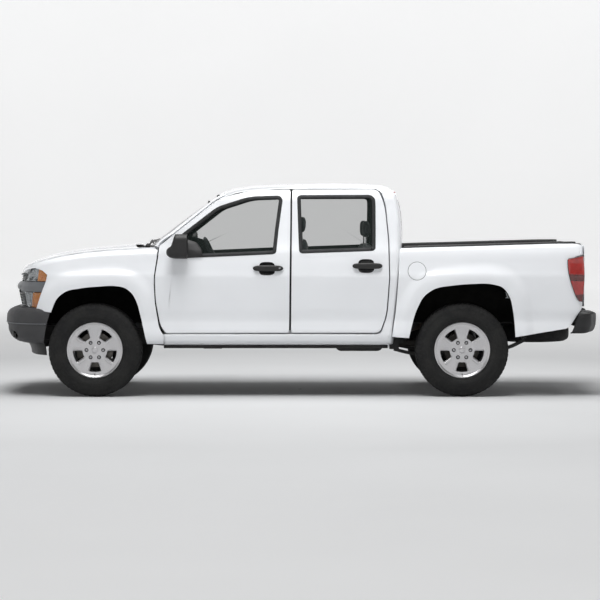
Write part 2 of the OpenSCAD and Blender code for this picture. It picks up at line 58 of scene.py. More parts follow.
# cubic curve through stations (xs, ys), read at q: each station's slope is that of its neighbours
def through(xs, ys, q):
    xs, ys = np.array(xs, float), np.array(ys, float)
    slope = np.gradient(ys, xs)
    i = np.clip(np.searchsorted(xs, q) - 1, 0, len(xs) - 2)
    h = xs[i + 1] - xs[i]
    t = np.clip((q - xs[i]) / h, 0, 1)
    start = (2 * t**3 - 3 * t**2 + 1) * ys[i] + (t**3 - 2 * t**2 + t) * h * slope[i]
    return start + (3 * t**2 - 2 * t**3) * ys[i + 1] + (t**3 - t**2) * h * slope[i + 1]


# 0 below a, 1 above b, and an S-shaped cubic between them
def ease(a, b, q):
    t = np.clip((q - a) / (b - a), 0, 1)
    return t * t * (3 - 2 * t)


# evenly spaced points on a polyline, by its running length
def evenly(line, count):
    line = np.array(line, float)
    run = np.r_[0, np.cumsum(np.linalg.norm(np.diff(line, axis=0), axis=1))]
    at = np.linspace(0, run[-1], count)
    return np.stack([np.interp(at, run, line[:, k]) for k in range(line.shape[1])], 1)


# a corner (x, z, radius) as an arc that touches both of its edges
def cornerArc(a, b, c, steps=10):
    radius = b[2] if len(b) > 2 else 0
    a, b, c = np.array(a[:2], float), np.array(b[:2], float), np.array(c[:2], float)
    if radius <= 0:
        return b[None]
    u, v = (a - b) / np.linalg.norm(a - b), (c - b) / np.linalg.norm(c - b)
    half = math.acos(np.clip(u @ v, -1, 1)) / 2
    middle = b + (u + v) / np.linalg.norm(u + v) * radius / math.sin(half)
    p, q = b + u * radius / math.tan(half) - middle, b + v * radius / math.tan(half) - middle
    start, turn = math.atan2(p[1], p[0]), math.atan2(q[1], q[0]) - math.atan2(p[1], p[0])
    turn = (turn + math.pi) % tau - math.pi
    angle = start + turn * np.linspace(0, 1, steps + 1)
    return middle + radius * np.stack([np.cos(angle), np.sin(angle)], 1)


# outline through corners; each stretch, from one corner's middle to the next one's, has its own count
def outline(corners, counts, closed=True):
    total = len(corners)
    arcs = []
    for i, corner in enumerate(corners):
        ends = not closed and i in (0, total - 1)
        arcs.append(np.array([corner[:2]], float) if ends else cornerArc(corners[i - 1], corner,
            corners[(i + 1) % total]))
    stretches = []
    for i in range(total if closed else total - 1):
        here, there = arcs[i], arcs[(i + 1) % total]
        line = np.vstack([here[len(here) // 2:], there[:len(there) // 2 + 1]])
        stretches.append(evenly(line, counts[i] + 1)[:-1])
    if not closed:
        stretches.append(arcs[-1])
    return np.vstack(stretches)


# grid of n + 1 lines that lead from one curve to another with the same number of points
def between(first, last, n):
    t = np.linspace(0, 1, n + 1)[:, None, None]
    return np.asarray(first)[None] * (1 - t) + np.asarray(last)[None] * t


# a profile of (radius, offset) turned about the axis through centre along the given coordinate
def turned(profile, centre, axis=1, around=96, sign=1):
    profile = np.array(profile, float)
    angle = np.linspace(0, tau, around, endpoint=False)
    grid = np.zeros((len(profile), around, 3))
    others = [k for k in range(3) if k != axis]
    grid[..., others[0]] = profile[:, :1] * np.sin(angle)
    grid[..., others[1]] = profile[:, :1] * np.cos(angle)
    grid[..., axis] = sign * profile[:, 1:2]
    return grid + np.array(centre, float)


# a closed profile of (side, up) offsets carried along a path, standing square to it
def swept(path, profile, up=(0, 0, 1)):
    path, profile = np.array(path, float), np.array(profile, float)
    along = np.gradient(path, axis=0)
    along /= np.linalg.norm(along, axis=1)[:, None]
    side = np.cross(along, np.array(up, float))
    side /= np.linalg.norm(side, axis=1)[:, None] + 1e-9
    rise = np.cross(side, along)
    return path[:, None] + side[:, None] * profile[None, :, :1] + rise[:, None] * profile[None, :, 1:2]


# points of a circle about the origin
def circle(radius, count=12):
    angle = np.linspace(0, tau, count, endpoint=False)
    return radius * np.stack([np.cos(angle), np.sin(angle)], 1)


# a block with rounded edges: a ball's grid with each coordinate raised to a power, so its faces flatten
def softBlock(low, high, power=0.35, rings=18, around=32):
    low, high = np.array(low, float), np.array(high, float)
    tilt = np.linspace(-math.pi / 2, math.pi / 2, rings + 1)[:, None]
    turn = np.linspace(0, tau, around, endpoint=False)[None]
    bend = lambda q: np.sign(q) * np.abs(q) ** power
    unit = np.stack([bend(np.cos(tilt)) * bend(np.cos(turn)), bend(np.cos(tilt)) * bend(np.sin(turn)),
        bend(np.sin(tilt)) + 0 * turn], -1)
    return (low + high) / 2 + unit * (high - low) / 2


# the quads of a grid's vertices, numbered from first
def facesOf(rows, columns, closeRows, closeColumns, first):
    index = first + np.arange(rows * columns).reshape(rows, columns)
    if closeRows:
        index = np.vstack([index, index[:1]])
    if closeColumns:
        index = np.hstack([index, index[:, :1]])
    quads = np.stack([index[:-1, :-1], index[1:, :-1], index[1:, 1:], index[:-1, 1:]], -1)
    return quads.reshape(-1, 4)


# a surface whose columns close on themselves
def tube(grid):
    return grid, False, True


# joins grids into one mesh piece; a surface is (grid, close rows, close columns), or a grid open both ways
def piece(name, surfaces, finish, body="chassis", thick=0.0, bevel=0.0, smooth=35, weld=False,
        inside=None, replaced=(), subdivide=0):
    points, quads, first = [], [], 0
    for surface in surfaces:
        grid, closeRows, closeColumns = surface if isinstance(surface, tuple) else (surface, False, False)
        rows, columns = grid.shape[:2]
        flat = grid.reshape(-1, 3)
        face = facesOf(rows, columns, closeRows, closeColumns, first)
        corner = flat[face - first]
        normal = np.cross(corner[:, 2] - corner[:, 0], corner[:, 3] - corner[:, 1])
        middle = corner.mean(1)
        if inside is None:
            origin = flat.mean(0) * (1, 0, 0) + (0, 0, 0.6) if not (closeRows
                or closeColumns) else flat.mean(0)
        else:
            origin = np.array(inside, float)
        if (normal * (middle - origin)).sum() < 0:
            face = face[:, ::-1]
        points.append(flat)
        quads.append(face)
        first += len(flat)
    mesh = bpy.data.meshes.new(name)
    points, quads = np.vstack(points), np.vstack(quads)
    mesh.vertices.add(len(points))
    mesh.vertices.foreach_set("co", points.astype(np.float32).ravel())
    mesh.loops.add(quads.size)
    mesh.loops.foreach_set("vertex_index", quads.astype(np.int32).ravel())
    mesh.polygons.add(len(quads))
    mesh.polygons.foreach_set("loop_start", np.arange(0, quads.size, 4, dtype=np.int32))
    mesh.update(calc_edges=True)
    mesh.validate()
    made = bpy.data.objects.new(name, mesh)
    bpy.context.scene.collection.objects.link(made)
    if weld:
        welded = made.modifiers.new("weld", "WELD")
        welded.merge_threshold = 0.0002
    if thick:
        wall = made.modifiers.new("wall", "SOLIDIFY")
        wall.thickness, wall.offset = thick, -1
    if bevel:
        edge = made.modifiers.new("edge", "BEVEL")
        edge.width, edge.segments, edge.limit_method = bevel, 2, "ANGLE"
        edge.angle_limit = math.radians(50)
    if subdivide:
        rounding = made.modifiers.new("round", "SUBSURF")
        rounding.levels = rounding.render_levels = subdivide
    mesh.shade_smooth()
    if smooth and not (thick or bevel or subdivide):
        mesh.set_sharp_from_angle(angle=math.radians(smooth))
    mesh.materials.append(finishes[finish])
    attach(made, body)
    if replaced:
        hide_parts(*replaced)
    return made


# the same grids on the truck's other side
def mirrored(grid):
    return (grid[0] * (1, -1, 1), grid[1], grid[2]) if isinstance(grid, tuple) else grid * (1, -1, 1)


# surfaces drawn on the left, moved to the right where side is 1
def onSide(surfaces, side):
    return surfaces if side < 0 else [mirrored(surface) for surface in surfaces]


# surfaces drawn on the left, together with their mirror images
def onBothSides(surfaces):
    return surfaces + [mirrored(surface) for surface in surfaces]


# sRGB hex to linear colour
def colour(hexCode, alpha=1.0):
    value = np.array([int(hexCode[i:i + 2], 16) for i in (0, 2, 4)]) / 255
    linear = np.where(value <= 0.04045, value / 12.92, ((value + 0.055) / 1.055) ** 2.4)
    return (*[float(part) for part in linear], alpha)


# a node with its settings and its links: a socket's value is a number, a colour or another node's output
def addNode(tree, kind, settings=None, **sockets):
    made = tree.nodes.new(kind)
    for name, value in (settings or {}).items():
        setattr(made, name, value)
    for name, value in sockets.items():
        numbered = name[0] == "n" and name[1:].isdigit()
        socket = made.inputs[int(name[1:]) if numbered else name.replace("_", " ")]
        if isinstance(value, bpy.types.NodeSocket):
            tree.links.new(value, socket)
        else:
            socket.default_value = value
    return made


# a material from its constant inputs and the inputs that a build function links
def newMaterial(name, constants, build):
    made = bpy.data.materials.new(name)
    made.use_nodes = True
    tree = made.node_tree
    shader = tree.nodes["Principled BSDF"]
    for socket, value in constants.items():
        shader.inputs[socket].default_value = colour(value) if isinstance(value, str) else value
    place = addNode(tree, "ShaderNodeTexCoord").outputs["Object"]
    for socket, output in build(tree, place).items():
        tree.links.new(output, shader.inputs[socket])
    return made


# a finish's inputs from its patterns: colours between two shades, roughness between two values, and relief;
# a pattern is another node's output, or the (size, detail) of a cloudy noise
def patterned(tree, place, low, high, mottle, rough=None, spot=0.05, relief=None, depth=0.0, strength=0.6):
    def pattern(source):
        if isinstance(source, bpy.types.NodeSocket):
            return source
        return addNode(tree, "ShaderNodeTexNoise", Vector=place, Scale=1 / source[0], Detail=source[1],
            Roughness=0.5).outputs["Fac"]
    ramp = addNode(tree, "ShaderNodeValToRGB", Fac=pattern(mottle))
    for stop, position, hexCode in zip(ramp.color_ramp.elements, (0.3, 0.7), (low, high)):
        stop.position = position
        stop.color = colour(hexCode)
    made = {"Base Color": ramp.outputs["Color"]}
    if rough:
        made["Roughness"] = addNode(tree, "ShaderNodeMapRange", Value=pattern((spot, 3.0)), From_Min=0.3,
            From_Max=0.7, To_Min=rough[0], To_Max=rough[1]).outputs["Result"]
    if relief is not None:
        made["Normal"] = addNode(tree, "ShaderNodeBump", Height=pattern(relief), Distance=depth,
            Strength=strength).outputs["Normal"]
    return made


# white enamel under clear lacquer: hard reflections over an even, scattering body, with a faint orange peel
def enamel(tree, place):
    made = patterned(tree, place, "e9ebee", "edeff2", (0.6, 2.0), (0.30, 0.36), 0.25, (0.006, 1.0),
        0.00004, 0.5)
    made["Coat Normal"] = made.pop("Normal")
    return made


# grained black plastic: a fine leather-like grain, grey where it has weathered
def grained(low, high, rough, grain=0.0016):
    def build(tree, place):
        pits = addNode(tree, "ShaderNodeTexVoronoi", {"feature": "SMOOTH_F1"}, Vector=place,
            Scale=1 / grain)
        return patterned(tree, place, low, high, (0.18, 4.0), (rough - 0.05, rough + 0.05), 0.05,
            pits.outputs["Distance"], 0.0002, 0.55)
    return build


# tyre rubber: dull, greyer with dust in broad patches, with a fine moulded roughness
def rubber(tree, place):
    return patterned(tree, place, "1a1a1b", "262625", (0.09, 5.0), (0.68, 0.86), 0.02, (0.0012, 4.0),
        0.0003, 0.5)


# cast alloy under silver lacquer: metal flake that varies a little, under a soft coat
def alloy(tree, place):
    flake = addNode(tree, "ShaderNodeTexVoronoi", Vector=place, Scale=1 / 0.0012).outputs["Distance"]
    return patterned(tree, place, "b6b5b7", "cdcccd", flake, (0.30, 0.38), 0.03)


# bare or painted metal with a fine cast roughness and a little dirt
def dull(low, high, rough, size=0.004, depth=0.0003):
    return lambda tree, place: patterned(tree, place, low, high, (0.07, 5.0), (rough - 0.08, rough + 0.08),
        0.03, (size, 4.0), depth)


# woven cloth: two sets of threads at right angles, drawn at 2 mm so that they show
def cloth(low, high):
    def build(tree, place):
        threads = [addNode(tree, "ShaderNodeTexWave", {"bands_direction": bands}, Vector=place, Scale=50.0,
            Distortion=0.6).outputs["Fac"] for bands in ("Y", "DIAGONAL")]
        woven = addNode(tree, "ShaderNodeMath", {"operation": "MULTIPLY"}, n0=threads[0],
            n1=threads[1]).outputs["Value"]
        return patterned(tree, place, low, high, woven, relief=woven, depth=0.0006)
    return build


# tinted window glass: clear enough to see the cabin, with a grey-green body; slightly uneven tint
def tint(tree, place):
    return patterned(tree, place, "39423f", "404946", (0.5, 1.0))


# lens plastic moulded with fine upright flutes, 12 mm apart unless another spacing is given
def fluted(low, high, flute=0.012, depth=0.0012):
    def build(tree, place):
        ribs = addNode(tree, "ShaderNodeTexWave", {"bands_direction": "Z", "wave_profile": "SIN"},
            Vector=place, Scale=0.314 / flute).outputs["Fac"]
        return patterned(tree, place, low, high, (0.05, 2.0), relief=ribs, depth=depth, strength=0.35)
    return build


finishes = {
    "bodyPaint": newMaterial("white enamel", {"Coat Weight": 1.0, "Coat Roughness": 0.04,
        "Specular IOR Level": 0.4}, enamel),
    "bumperPlastic": newMaterial("weathered bumper plastic", {"Specular IOR Level": 0.35},
        grained("38383a", "424243", 0.55)),
    "stepPlastic": newMaterial("black step plastic", {"Specular IOR Level": 0.35},
        grained("232324", "2d2d2e", 0.55)),
    "trimPlastic": newMaterial("black trim plastic", {"Specular IOR Level": 0.4},
        grained("1c1c1c", "262626", 0.48)),
    "bezelPlastic": newMaterial("grey bezel plastic", {"Specular IOR Level": 0.45},
        grained("5f6164", "6a6c6f", 0.40, 0.001)),
    "glossBlack": newMaterial("gloss black plastic", {"Specular IOR Level": 0.5},
        dull("0c0c0d", "121213", 0.16, 0.01, 0.00002)),
    "sealRubber": newMaterial("window seal rubber", {"Specular IOR Level": 0.3},
        dull("202122", "2c2d2e", 0.62, 0.002)),
    "tyreRubber": newMaterial("tyre rubber", {"Specular IOR Level": 0.25}, rubber),
    "wheelAlloy": newMaterial("silver lacquered alloy", {"Metallic": 0.85, "Coat Weight": 0.35,
        "Coat Roughness": 0.12}, alloy),
    "nutSteel": newMaterial("plated steel", {"Metallic": 1.0}, dull("9a9a9c", "b4b4b6", 0.25, 0.003,
        0.0001)),
    "brakeSteel": newMaterial("brake disc steel", {"Metallic": 1.0}, dull("4a4845", "605d59", 0.42, 0.002)),
    "chassisPaint": newMaterial("black chassis paint", {"Specular IOR Level": 0.4},
        dull("121212", "1f1e1c", 0.50)),
    "castIron": newMaterial("cast iron", {"Metallic": 0.6}, dull("3a3835", "524f4a", 0.62)),
    "engineAlloy": newMaterial("sand cast alloy", {"Metallic": 0.9}, dull("77787a", "909294", 0.50)),
    "exhaustSteel": newMaterial("heat-stained exhaust steel", {"Metallic": 0.9},
        dull("5f5850", "857c70", 0.45)),
    "tankPlastic": newMaterial("black polyethylene", {"Specular IOR Level": 0.4},
        dull("151515", "202020", 0.55, 0.006)),
    "linerFelt": newMaterial("wheel liner felt", {"Specular IOR Level": 0.1},
        dull("0b0b0b", "151514", 0.93, 0.002, 0.0006)),
    "windowGlass": newMaterial("tinted window glass", {"Roughness": 0.02, "Alpha": 0.26,
        "Specular IOR Level": 0.6}, tint),
    "clearLens": newMaterial("clear lens plastic", {"Roughness": 0.03, "Alpha": 0.14, "Coat Weight": 1.0},
        fluted("4c5154", "6a7073", 0.03, 0.0004)),
    "lampMirror": newMaterial("lamp reflector", {"Metallic": 1.0, "Roughness": 0.16},
        fluted("9b9ea0", "bcbfc1", 0.014, 0.0018)),
    "amberLens": newMaterial("amber lens plastic", {"Roughness": 0.12, "Coat Weight": 0.6},
        fluted("d97a10", "ee9420", 0.008, 0.0008)),
    "redLens": newMaterial("red lens plastic", {"Roughness": 0.10, "Coat Weight": 1.0},
        fluted("8e1f1c", "a62b26", 0.010, 0.0008)),
    "darkRedLens": newMaterial("dark red lens plastic", {"Roughness": 0.12, "Coat Weight": 1.0},
        fluted("4a0f0f", "5e1614", 0.010, 0.0008)),
    "seatCloth": newMaterial("grey seat cloth", {"Roughness": 0.9, "Sheen Weight": 0.3},
        cloth("3c3e41", "5a5d60")),
    "dashPlastic": newMaterial("soft dash plastic", {"Specular IOR Level": 0.3},
        grained("27282a", "303134", 0.62, 0.002)),
    "cabinGrey": newMaterial("grey cabin trim", {"Specular IOR Level": 0.3},
        grained("77797b", "84868a", 0.68, 0.002)),
    "screenGlass": newMaterial("screen glass", {"Specular IOR Level": 0.5},
        dull("07080a", "0c0e11", 0.08, 0.02, 0.00001)),
    "floorCarpet": newMaterial("dark carpet", {"Specular IOR Level": 0.1},
        dull("1f2022", "303134", 0.95, 0.0015, 0.0008)),
    "blankPlate": newMaterial("blank number plate", {"Coat Weight": 0.3},
        dull("d9dadb", "e3e4e5", 0.35, 0.004, 0.00005)),
}


# gives a CAD node one of the finishes
def refinish(name, finish):
    nodes[name].data.materials.clear()
    nodes[name].data.materials.append(finishes[finish])


# heights and half-widths of the body's section, and the plan curve that closes it at the nose
bodySide = {
    "heights": [0.400, 0.441, 0.468, 0.500, 0.540, 0.590, 0.640, 0.680, 0.720, 0.800, 0.900, 0.980, 1.025,
        1.060, 1.120, 1.215, 1.290, 1.450, 1.600, 1.695, 1.748, 1.775, 1.790],
    "halves": [0.750, 0.792, 0.832, 0.8465, 0.8500, 0.8465, 0.8405, 0.8425, 0.8475, 0.8520, 0.8570, 0.8605,
        0.8610, 0.8530, 0.8415, 0.8225, 0.7900, 0.7360, 0.6860, 0.6500, 0.6080, 0.5450, 0.4600],
    "noseStart": -1.95,
    "noseFront": -2.45,
    "nosePower": 2.6,
    "tailStart": 2.345,
    "tailRadius": 0.05,
}


# half-width at (x, z): the section's curve, with a superellipse at the nose, a quarter circle at the tail
def sideHalf(x, z):
    half = through(bodySide["heights"], bodySide["halves"], z)
    power = bodySide["nosePower"]
    t = np.clip((bodySide["noseStart"] - x) / (bodySide["noseStart"] - bodySide["noseFront"]), 0, 0.995)
    tail = np.clip((x - bodySide["tailStart"]) / bodySide["tailRadius"], 0, 1)
    return half * (1 - t**power) ** (1 / power) - bodySide["tailRadius"] * (1 - np.sqrt(1 - tail**2))


# side panel: a flat (x, z) grid laid on the body's surface, standing out by lift
def onSideSurface(flat, lift=0.0):
    return sheet(flat[..., 0], -(sideHalf(flat[..., 0], flat[..., 1]) + lift), flat[..., 1])


# flare round a wheel arch: full height at the lip, then a shoulder that fades out at its width
flare = {"height": 0.032, "steps": [0, 0.045, 0.07, 0.165, 0.20, 9], "shape": [1, 1, 0.93, 0.08, 0, 0]}


def flareLift(flat, arch):
    gap = np.sqrt(((flat[..., None, :] - arch) ** 2).sum(-1).min(-1))
    return flare["height"] * through(flare["steps"], flare["shape"], gap)


# a top edge that turns over in a quarter ellipse: how far in the surface has come at depth below the edge
def turnOver(depth, radius, inward):
    t = np.clip(1 - depth / radius, 0, 1)
    return inward * (1 - np.sqrt(1 - t**2))


def splineThrough(points, count):
    points = np.array(points, float)
    run = np.r_[0, np.cumsum(np.linalg.norm(np.diff(points, axis=0), axis=1))]
    at = np.linspace(0, run[-1], count * 4)
    return evenly(sheet(through(run, points[:, 0], at), through(run, points[:, 1], at)), count)


# grid that leads from a wheel arch to a panel's edge along rays from a centre
def archPanel(arch, edge, centre, n=44):
    turnOf = lambda line: np.unwrap(np.arctan2(line[:, 1] - centre[1], line[:, 0] - centre[0]))
    archTurn, edgeTurn = turnOf(arch), turnOf(edge)
    share = (edgeTurn - edgeTurn[0]) / (edgeTurn[-1] - edgeTurn[0])
    archShare = (archTurn - archTurn[0]) / (archTurn[-1] - archTurn[0])
    inner = np.stack([np.interp(share, archShare, arch[:, k]) for k in (0, 1)], 1)
    return between(inner, edge, n)


fender = {
    "arch": [(-2.118, 0.650), (-2.094, 0.729), (-2.038, 0.842), (-1.974, 0.892), (-1.845, 0.922),
        (-1.684, 0.938), (-1.556, 0.942), (-1.475, 0.927), (-1.411, 0.880), (-1.371, 0.810),
        (-1.339, 0.697), (-1.307, 0.553), (-1.283, 0.446)],
    "topX": [-2.330, -2.306, -2.200, -2.085, -1.900, -1.700, -1.450, -1.199],
    "topZ": [1.080, 1.100, 1.140, 1.170, 1.204, 1.228, 1.244, 1.256],
    "topRadius": 0.050,
    "topInward": 0.045,
    "flange": 0.034,
}
frontArch = splineThrough(fender["arch"], 160)
rearLamp = -2.127


def fenderTop(x):
    return through(fender["topX"], fender["topZ"], x)


def fenderSurface(flat):
    depth = fenderTop(flat[..., 0]) - flat[..., 1]
    inward = turnOver(depth, fender["topRadius"], fender["topInward"])
    return onSideSurface(flat, flareLift(flat, frontArch) - inward)


topPoint = lambda x: (x, float(fenderTop(np.array([x]))[0]))
fenderEdge = outline([(-2.230, 0.733), (-2.176, 0.886, 0.4), (-2.140, 0.972, 0.1), (rearLamp, 1.030),
    topPoint(rearLamp), topPoint(-2.000), topPoint(-1.800), topPoint(-1.600), topPoint(-1.400),
    topPoint(-1.199), (-1.207, 1.170, 0.3), (-1.232, 1.000, 0.5), (-1.222, 0.800, 0.5),
    (-1.183, 0.560, 0.2), (-1.145, 0.520, 0.02), (-1.150, 0.444)], [14, 10, 7, 12, 8, 12, 12, 12, 12, 9,
    16, 18, 22, 8, 9], closed=False)
fenderMain = archPanel(frontArch[8:], fenderEdge, (-1.70, 0.55))
lampTopLine = outline([(-2.345, 1.050), (-2.318, 1.069, 0.03), (-2.247, 1.087, 0.08),
    (-2.175, 1.068, 0.05), (rearLamp, 1.030)], [8, 8, 8, 8], closed=False)
tongueX = np.linspace(-2.345, rearLamp, len(lampTopLine))
tongueTop = sheet(tongueX, fenderTop(tongueX))
fenderTongue = between(lampTopLine, tongueTop, 12)
flangeX = np.linspace(-2.345, -1.199, 90)
flangeEdge = fenderSurface(sheet(flangeX, fenderTop(flangeX)))
flangeSteps = np.array([(0, 0), (0.010, 0.0015), (0.024, 0.002), (0.032, 0.001), (0.034, -0.003),
    (0.0345, -0.030)])
fenderFlange = flangeEdge[None] + sheet(0 * flangeSteps[:, 0], flangeSteps[:, 0],
    flangeSteps[:, 1])[:, None]
archLip = fenderSurface(frontArch[8:])
lipSteps = np.array([(0, 0), (0.003, 0.0010), (0.010, 0.0015), (0.022, 0.001)])
towards = sheet(frontArch[8:, 0] + 1.72, 0 * frontArch[8:, 0], frontArch[8:, 1] - 0.50)
towards /= np.linalg.norm(towards, axis=1)[:, None]
fenderLip = archLip[None] + sheet(0 * lipSteps[:, 0], lipSteps[:, 0],
    0 * lipSteps[:, 0])[:, None] - towards[None] * lipSteps[:, 1][:, None, None]
piece("front_fender_skins", onBothSides([fenderSurface(fenderMain), fenderSurface(fenderTongue),
    fenderFlange, fenderLip]), "bodyPaint", thick=0.004, bevel=0.0015, weld=True,
    replaced=["front_fenders"])
print("fenders made")


bed = {
    "arch": [(0.905, 0.470), (0.932, 0.585), (0.980, 0.745), (1.045, 0.858), (1.125, 0.914),
        (1.285, 0.946), (1.446, 0.959), (1.607, 0.957), (1.704, 0.928), (1.767, 0.842), (1.792, 0.745),
        (1.808, 0.633), (1.816, 0.507)],
    "topX": [0.838, 0.900, 1.446, 1.929, 2.250, 2.330, 2.388],
    "topZ": [1.252, 1.2545, 1.270, 1.284, 1.291, 1.290, 1.278],
    "topRadius": 0.030,
    "topInward": 0.026,
    "lampX": 2.258,
}
rearArch = splineThrough(bed["arch"], 160)


def bedTop(x):
    return through(bed["topX"], bed["topZ"], x)


def bedSurface(flat):
    inward = turnOver(bedTop(flat[..., 0]) - flat[..., 1], bed["topRadius"], bed["topInward"])
    frontEdge = turnOver(flat[..., 0] - (0.775 + (flat[..., 1] - 0.5) * 0.084), 0.02, 0.02)
    return onSideSurface(flat, flareLift(flat, rearArch) - inward - frontEdge)


bedPoint = lambda x: (x, float(bedTop(np.array([x]))[0]))
bedEdge = outline([(2.242, 0.576), (2.274, 0.592, 0.03), (2.374, 0.745, 0.01), (2.380, 0.800),
    (2.350, 0.806, 0.008), (2.326, 0.840, 0.03), (2.291, 0.929, 0.4), (2.262, 1.035, 0.4),
    (2.252, 1.100, 0.2), (2.258, 1.166), bedPoint(2.258), bedPoint(1.950), bedPoint(1.600),
    bedPoint(1.200), bedPoint(0.840), (0.826, 0.960, 0.9), (0.806, 0.720, 0.9), (0.775, 0.508)],
    [4, 14, 5, 3, 4, 9, 10, 7, 7, 9, 16, 18, 20, 20, 18, 16, 14], closed=False)[::-1]
bedMain = archPanel(rearArch[3:], bedEdge, (1.367, 0.55))
tailTopX = np.linspace(bed["lampX"], 2.388, 18)
bedTongue = between(sheet(tailTopX, 1.166 + 0.030 * ease(2.258, 2.388, tailTopX)),
    sheet(tailTopX, bedTop(tailTopX)), 9)
railX = np.linspace(0.840, 2.388, 90)
railEdge = bedSurface(sheet(railX, bedTop(railX)))
railInner = nodeBox("bed_floor")[1][1] + 0.006
railShare = np.array([0, 0.3, 0.7, 1.0])[:, None]
railGrid = sheet(np.broadcast_to(railX, (4, 90)), railEdge[:, 1] * (1 - railShare) - railInner * railShare,
    np.broadcast_to(railEdge[:, 2], (4, 90)))
railDrop = railGrid[-1][None] + np.array([(0, 0, 0), (0, 0, -0.02), (0, 0, -0.045)])[:, None]
bedLipPoint = bedSurface(rearArch[3:])
bedTowards = sheet(rearArch[3:, 0] - 1.38, 0 * rearArch[3:, 0], rearArch[3:, 1] - 0.50)
bedTowards /= np.linalg.norm(bedTowards, axis=1)[:, None]
bedLip = bedLipPoint[None] + sheet(0 * lipSteps[:, 0], lipSteps[:, 0],
    0 * lipSteps[:, 0])[:, None] - bedTowards[None] * lipSteps[:, 1][:, None, None]
# rear post: the corner of the bed carried round to its inner face, behind the lamp
postZ = np.linspace(0.760, 1.276, 30)
postSteps = np.array([(2.394, 0.806), (2.396, 0.770), (2.396, 0.735), (2.392, 0.724), (2.330, 0.722)])
postGrid = sheet(np.broadcast_to(postSteps[:, :1], (5, 30)), -np.broadcast_to(postSteps[:, 1:], (5, 30)),
    np.broadcast_to(postZ, (5, 30)))
piece("bed_side_skins", onBothSides([bedSurface(bedMain), bedSurface(bedTongue), railGrid, railDrop,
    bedLip]), "bodyPaint", thick=0.004, bevel=0.0015, weld=True, replaced=["bed_sides"])
piece("bed_posts", onBothSides([postGrid]), "bodyPaint", thick=0.003, bevel=0.001)

# black cap along each rail: a low rounded strip; its inner side hangs 46 mm down, so the bed wall is black
# below the rail's top
capX = np.linspace(0.880, 2.330, 60)
capEdge = bedSurface(sheet(capX, bedTop(capX)))
capPath = sheet(capX, capEdge[:, 1] + 0.030, bedTop(capX) + 0.002)
capShape = np.array([(0.024, -0.004), (0.024, 0.006), (0.017, 0.013), (0, 0.016), (-0.018, 0.013),
    (-0.028, 0.006), (-0.031, -0.046), (-0.027, -0.046)])
piece("bed_rail_caps", onBothSides([tube(swept(capPath, capShape))]), "trimPlastic", weld=True)

# fuel door: a shallow disc in a dark ring, on the left side; the ring is painted shade, dark rubber laid
# where the gap round the door would be
fuelDoor = {"x": 0.984, "z": 1.062, "radius": 0.074, "gap": 0.0035}
rings = np.array([0.001, 0.2, 0.4, 0.6, 0.8, 0.95, 1.0])
angle = np.linspace(0, tau, 72, endpoint=False)


def roundOnSide(radii, lift, centre):
    flat = sheet(centre[0] + radii[:, None] * np.cos(angle), centre[1] + radii[:, None] * np.sin(angle))
    raised = bedSurface(flat)
    raised[..., 1] -= np.asarray(lift)[:, None]
    return raised


fuelCentre = (fuelDoor["x"], fuelDoor["z"])
piece("fuel_door", [tube(roundOnSide(rings * fuelDoor["radius"], [0.0016] * 6 + [0.0004], fuelCentre))],
    "bodyPaint")
# dark rubber ring on the body round the door: painted shade in place of the gap's shadow
ringRadii = np.array([fuelDoor["radius"] + 0.0003, fuelDoor["radius"] + fuelDoor["gap"]])
piece("fuel_door_gap_shade", [tube(roundOnSide(ringRadii, [0.0007, 0.0007], fuelCentre))], "sealRubber")
print("bed sides made")


doorShapes = {
    "front": {"edge": [(-1.125, 0.537, 0.05), (-0.092, 0.541, 0.012), (-0.086, 1.100, 0.9),
        (-0.079, 1.748, 0.012), (-0.420, 1.738, 0.5), (-0.690, 1.672, 0.35), (-1.186, 1.270, 0.02),
        (-1.195, 1.170, 0.3), (-1.223, 1.000, 0.5), (-1.213, 0.800, 0.5), (-1.174, 0.580, 0.2)],
        "window": [(-1.064, 1.169, 0.006), (-0.205, 1.207, 0.026), (-0.185, 1.400), (-0.145, 1.697, 0.042),
        (-0.430, 1.687, 0.5), (-0.700, 1.600, 0.3), (-1.000, 1.368, 0.02), (-1.020, 1.310),
        (-1.035, 1.260), (-1.048, 1.220), (-1.056, 1.194)], "counts": [44, 26, 32, 20, 16, 36, 9, 14, 16,
        18, 8],},
    "rear": {"edge": [(-0.076, 0.541, 0.012), (0.672, 0.541, 0.06), (0.728, 0.690, 0.5),
        (0.750, 1.000, 0.9), (0.744, 1.330, 0.9), (0.716, 1.640, 0.5), (0.660, 1.750, 0.07),
        (-0.066, 1.748, 0.012), (-0.071, 1.100, 0.9)], "window": [(-0.004, 1.212, 0.026),
        (0.613, 1.234, 0.016), (0.634, 1.250, 0.02), (0.636, 1.380), (0.6365, 1.500), (0.637, 1.600),
        (0.634, 1.701, 0.055), (-0.022, 1.699, 0.026), (-0.012, 1.400)],
        "counts": [36, 14, 16, 16, 14, 12, 30, 30, 26],},
}


def doorCurves(shape):
    return outline(shape["window"], shape["counts"]), outline(shape["edge"], shape["counts"])


